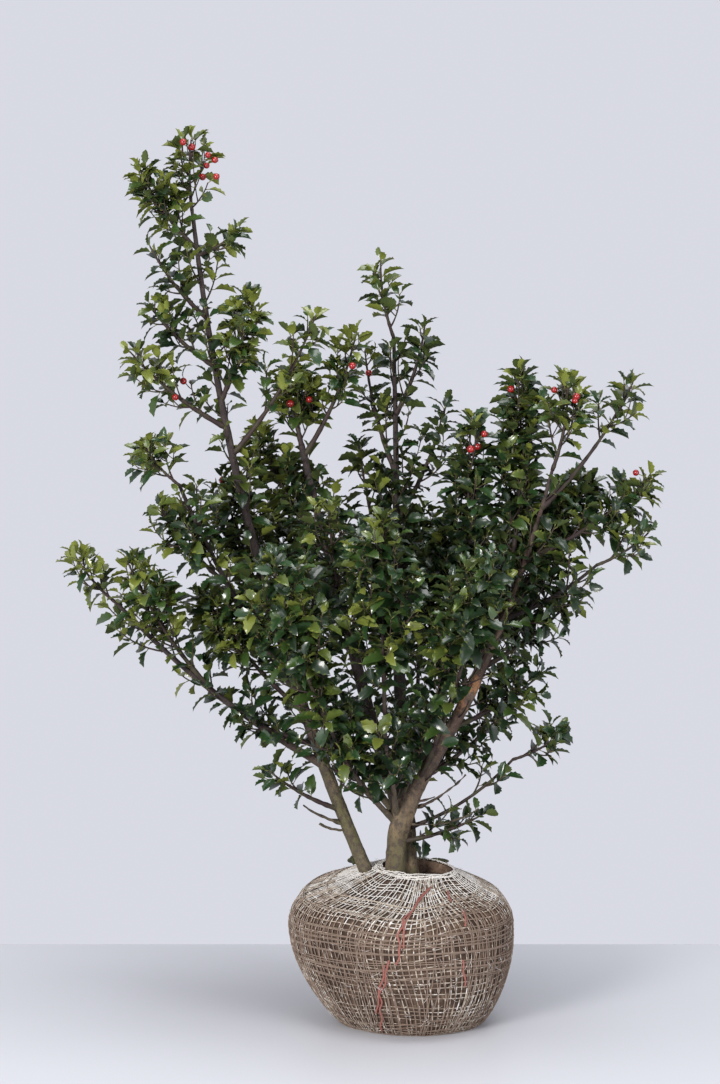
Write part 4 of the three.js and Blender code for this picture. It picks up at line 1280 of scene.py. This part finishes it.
def yarn_stain_and_light(angle, distance, seed):
    """0, 1 or 2 for pale, cream or dusty yarn: dirtier lower down, and by chance, but a little paler
    again at the foot, partly paler yarn and partly painted light from the floor.
    """
    rng = np.random.default_rng(seed)
    patches = ripples(31, count=9, around=6, along=45.0)(angle, distance)
    share = distance / SKIN_LENGTH
    # Painted light: the rise from the foot keeps the foot paler, as if lit by the floor; the rest is
    # stain.
    dirt_and_light = 0.82 + 0.38 * rise(share, 0.15, 0.42) - 1.25 * rise(share, 0.48, 0.8)
    dirt_and_light = dirt_and_light + 0.32 * patches + 0.26 * rng.normal(size=angle.shape)
    return np.digitize(dirt_and_light, (0.25, 0.75))


def net_piece(name, angle, distance, lift, width, seed, shade=0):
    """A layer of yarns, each short length in the tone of its stain and painted light, moved on by
    `shade`.
    """
    tones = np.clip(yarn_stain_and_light(angle, distance, seed) + shade, 0, 2)
    quad_tones = np.repeat(tones[:, :-1, None], 4, axis=2).ravel()
    cap_tones = np.repeat(tones[:, [0, -1]].ravel(), 4)
    new_piece(name, *strands(angle, distance, lift, width, seed), YARNS, "netting", (),
              np.concatenate([quad_tones, cap_tones]))


rng = np.random.default_rng(40)
upright = np.arange(MERIDIANS)
reaches = np.where(upright % 3 == 1, rng.uniform(0.84, 0.97, MERIDIANS), 1)
in_pairs = upright - 0.2 * (upright % 2) + rng.normal(0, 0.16, MERIDIANS)
steps = np.linspace(0, 1, 66) * reaches[:, None]
start_angle = (in_pairs * math.tau / MERIDIANS)[:, None]
distance = steps * SKIN_LENGTH
net_piece("upright_strands", start_angle + sway(start_angle, distance), distance,
          lift=0.5, width=0.62, seed=41)

turns = np.linspace(0, math.tau, 210)
ring_places = (np.arange(1, int(SKIN_LENGTH / CELL) + 1) * CELL)[:, None]
ring_places = ring_places + rng.normal(0, 0.22 * CELL, ring_places.shape)
angle = np.broadcast_to(turns, (len(ring_places), len(turns)))
distance = np.clip(ring_places + dip(angle, ring_places), 2, SKIN_LENGTH)
net_piece("ring_strands", angle, distance, lift=0.1, width=0.58, seed=42)

LOOSE, LOOSE_TOP = 96, 0.8
rng = np.random.default_rng(43)
low_steps = np.linspace(0, LOOSE_TOP, 48) * SKIN_LENGTH
distance = np.broadcast_to(low_steps, (LOOSE, len(low_steps)))
start_angle = rng.uniform(0, math.tau, LOOSE)[:, None]
slant = rng.normal(0.0012, 0.0012, LOOSE)[:, None]
loose_sway = 0.05 * ripples(44, count=8, around=5, along=45.0)(start_angle, distance)
net_piece("loose_upright_strands", start_angle + slant * distance + loose_sway, distance,
          lift=1.2, width=0.5, seed=45, shade=1)

ring_places = np.sort(rng.uniform(4, LOOSE_TOP * SKIN_LENGTH, 24))[:, None]
angle = np.broadcast_to(turns, (len(ring_places), len(turns)))
loose_dip = 5 * ripples(46, count=8, around=4, along=50.0)(angle, ring_places)
distance = np.clip(ring_places + loose_dip, 1, SKIN_LENGTH)
net_piece("loose_ring_strands", angle, distance, lift=1.5, width=0.48, seed=47, shade=1)

# %% [markdown]
# ## The gathered rim and the red strands
# Round the hole the net is bunched, so yarns loop round it in waves. A few coloured strands show
# in the photo: their places are points on the skin, as degrees round it and millimetres up it.

# %% Rim and coloured strands
LOOPS = 6
rng = np.random.default_rng(51)
angle = np.broadcast_to(turns, (LOOPS, len(turns)))
loop_patterns = [ripples(60 + loop, count=6, around=9, along=50.0) for loop in range(LOOPS)]
loop_waves = np.stack([pattern(turns, 0) for pattern in loop_patterns])
distance = SKIN_LENGTH - np.linspace(0.5, 9, LOOPS)[:, None] + 2.6 * loop_waves
net_piece("gathered_rim", angle, np.clip(distance, 0, SKIN_LENGTH),
          lift=1.3, width=0.7, seed=52, shade=-1)

RED_STRANDS = (
    ((-69, 249), (-79, 233), (-90, 183), (-92, 129), (-95, 119)),
    ((-72, 246), (-81, 228), (-88, 180), (-90, 140)),
    ((-97, 124), (-101, 96), (-105, 73), (-112, 44)),
    ((-99, 118), (-104, 80), (-110, 30), (-113, 10)),
    ((-52, 236), (-54, 214)),
    ((-50, 190), (-55, 165)),
    ((-60, 120), (-59, 84)),
    ((62, 240), (70, 180), (74, 120), (88, 60), (92, 8)),
)
red_yarn = yarn_look("red_yarn", (0.30, 0.11, 0.088), 0.9)
red_parts = []
for number, route in enumerate(RED_STRANDS):
    places = np.array(route, float)
    shares = np.linspace(0, len(places) - 1, 24 * (len(places) - 1) + 1)
    angle = np.radians(np.interp(shares, np.arange(len(places)), places[:, 0]))[None]
    distance = np.interp(shares, np.arange(len(places)), places[:, 1])[None]
    angle = angle + 0.014 * ripples(70 + number, count=7, around=1, along=7.0)(0, distance)
    red_parts.append(strands(angle, distance, lift=1.8, width=1.0, seed=80 + number))
new_piece("red_strands", *join_tubes(red_parts), [red_yarn], "red_strands")

# %% Loose fibres and clods of moss
FIBRES, LOWEST_FIBRE = 900, 0.3
FIBRE_RADII = (0.22, 0.2, 0.18, 0.14, 0.08)
rng = np.random.default_rng(91)
fibre_t = np.linspace(0, 1, len(FIBRE_RADII))
angle = rng.uniform(0, math.tau, FIBRES)[:, None] + rng.normal(0, 0.05, (FIBRES, 1)) * fibre_t
distance = rng.uniform(4, SKIN_LENGTH, FIBRES)[:, None] + rng.normal(0, 7, (FIBRES, 1)) * fibre_t
lift = 0.6 + rng.uniform(0.5, 3.5, (FIBRES, 1)) * np.sin(math.pi * fibre_t)
centres, normals = skin_point(angle, np.clip(distance, 1, SKIN_LENGTH), lift)
centres[..., 2] = np.maximum(centres[..., 2], LOWEST_FIBRE)
right = unit(np.cross(unit(np.gradient(centres, axis=1)), normals))
fibre_radii = np.broadcast_to(FIBRE_RADII, (FIBRES, len(FIBRE_RADII)))
new_piece("jute_fibres", *tubes(centres, right, normals, fibre_radii, 3), [YARNS[0]], "netting")

moss_look = Look("moss", (0.035, 0.038, 0.020), 0.95)
moss_tufts = moss_look.noise(220).step(0.4, 0.62)
moss_look.feed("Base Color", moss_look.mix(moss_tufts, (0.030, 0.026, 0.018), (0.062, 0.075, 0.026)))
moss_look.bump(moss_look.noise(500), strength=0.8, distance=0.002)
moss_wave = ripples(95, count=16, around=7, along=0.35)
MOSS_COLUMNS, MOSS_ROWS = 40, 26
MOSS_CLODS = (((-72, 24, 199), (6.5, 5, 5)), ((-63, 33, 198), (5, 4, 3)),
              ((34, 45, 193), (12, 4, 4)), ((14, 49, 194), (8, 4, 4)))


def sphere(angle, polar):
    """Points of the unit sphere: (sin b cos a, sin b sin a, cos b)."""
    x, y = np.sin(polar) * np.cos(angle), np.sin(polar) * np.sin(angle)
    return np.stack([x, y, np.cos(polar) + 0 * angle], axis=-1)


def clod(place, size):
    """A lump: place + size times the unit sphere, its radius roughened by waves of 24%."""
    angle = angles_round(MOSS_COLUMNS)
    polar = np.linspace(math.pi - 0.15, 0.15, MOSS_ROWS)[:, None]
    rough = (1 + 0.24 * moss_wave(angle, polar))[..., None]
    rows = np.array(place) + sphere(angle, polar) * size * rough
    poles = [rows[0].mean(axis=0), rows[-1].mean(axis=0)]
    return np.concatenate([rows.reshape(-1, 3), poles]), *tube_faces(1, MOSS_ROWS, MOSS_COLUMNS)


new_piece("moss_clods", *join_tubes([clod(*lump) for lump in MOSS_CLODS]), [moss_look], "soil")

# %% [markdown]
# ## Berries
# A holly berry is a small glossy ball on a short stalk, with the dark scar of the flower at its
# far end. Balls, scars and stalks are one joined mesh each.

# %% Berries, scars and stalks
def balls_piece(name, middles, radii, columns, rows, look):
    """Many balls as one mesh: middle + radius times the unit sphere, with a point at each pole."""
    polar = np.linspace(math.pi, 0, rows + 2)[1:-1, None]
    ball = np.concatenate([sphere(angles_round(columns), polar).reshape(-1, 3), [-UP, UP]])
    points = middles[:, None] + ball * np.broadcast_to(radii, len(middles))[:, None, None]
    new_piece(name, points.reshape(-1, 3), *tube_faces(len(middles), rows, columns), [look], "berries")


berry_heading = unit(hung[:, 1] - hung[:, 0])
berry_right = unit(np.cross(berry_heading, UP + 0.01))
berry_radii = BERRY_RADIUS * rng.uniform(0.86, 1.06, len(hung))
balls_piece("berries", hung[:, 1], berry_radii, columns=16, rows=9, look=berry_skin)
scar_skin = Look("scar_skin", (0.020, 0.012, 0.010), 0.7)
scars = hung[:, 1] + berry_heading * 0.93 * berry_radii[:, None]
balls_piece("berry_scars", scars, radii=0.9, columns=8, rows=3, look=scar_skin)
stalks_piece("berry_stalks", hung, berry_right, berry_heading, radii=0.55, sides=5)

# %% [markdown]
# ## Dead twigs
# A few short twigs low on the leader and the trunk carry no leaves. They are crooked and thin.

# %% Dead twigs
dead_parts = []
for number, twig in enumerate(DEAD_TWIGS):
    relief = ripples(110 + number, count=8, around=4, along=6.0)
    surface = branch_surface(drawn_bend(twig), sides=8, step=2.0, relief=relief, collar=0.3, lumps=0.1)
    dead_parts.append(surface)
new_piece("dead_twigs", *join_tubes(dead_parts), [bough_bark], "bark")

# %% [markdown]
# ## Studio
# A pale floor, a pale world and three large soft lights stand in for the photo studio. The world
# is stronger as the camera sees it, `AS_SEEN`, than as the light it gives, `AS_LIGHT`. The camera
# stands where the perspective of the photo says: 3.65 m from the plant and 0.93 m up.

# %% Floor, lights and camera
FLOOR = SimpleNamespace(side=2.4, front=-2.4, back=0.42)
BACKDROP = (0.69, 0.70, 0.77, 1)
AS_LIGHT, AS_SEEN = 0.66, 1.0


def studio_floor():
    mesh = bpy.data.meshes.new("floor")
    corners = [(-FLOOR.side, FLOOR.front, 0), (FLOOR.side, FLOOR.front, 0),
               (FLOOR.side, FLOOR.back, 0), (-FLOOR.side, FLOOR.back, 0)]
    mesh.from_pydata(corners, [], [(0, 1, 2, 3)])
    look = Look("floor", (0.60, 0.61, 0.65), 0.45)
    look.feed("Roughness", 0.4 + 0.1 * look.noise(3))
    mesh.materials.append(look.material)
    add_object("floor", mesh)


def soft_light(name, place, target, size, power, colour=(1, 1, 1)):
    """A round lamp at a place, turned to a target."""
    lamp = bpy.data.lights.new(name, "AREA")
    lamp.shape = "DISK"
    lamp.size = size
    lamp.energy = power
    lamp.color = colour
    light = add_object(name, lamp)
    light.location = place
    aim = np.array(target) - np.array(place)
    tilt, turn = math.atan2(aim[2], math.hypot(aim[0], aim[1])), math.atan2(aim[1], aim[0])
    light.rotation_euler = (math.pi / 2 + tilt, 0, turn - math.pi / 2)


studio_floor()
soft_light("key", (-2.0, -3.0, 1.25), (0, 0, 0.5), size=1.2, power=125, colour=(1.0, 0.98, 0.96))
soft_light("fill", (2.4, -2.6, 1.0), (0, 0, 0.4), size=1.8, power=55)
soft_light("top", (0.2, -0.5, 3.2), (0, 0, 0.5), size=2.2, power=62)

world = bpy.data.worlds.new("studio")
bpy.context.scene.world = world
world.use_nodes = True
backdrop = world.node_tree.nodes["Background"]
backdrop.inputs["Color"].default_value = BACKDROP
seen = world.node_tree.nodes.new("ShaderNodeLightPath").outputs["Is Camera Ray"]
power = world.node_tree.nodes.new("ShaderNodeMapRange")
power.inputs["To Min"].default_value = AS_LIGHT
power.inputs["To Max"].default_value = AS_SEEN
world.node_tree.links.new(seen, power.inputs["Value"])
world.node_tree.links.new(power.outputs["Result"], backdrop.inputs["Strength"])
bpy.context.scene.view_settings.view_transform = "Standard"

lens = bpy.data.cameras.new("photo_camera")
lens.lens = CAMERA.lens
camera = add_object("photo_camera", lens)
camera.location = (CAMERA.x * MM, -CAMERA.distance * MM, CAMERA.height * MM)
camera.rotation_euler = (math.radians(90 - CAMERA.pitch), 0, 0)
bpy.context.scene.camera = camera

# %% [markdown]
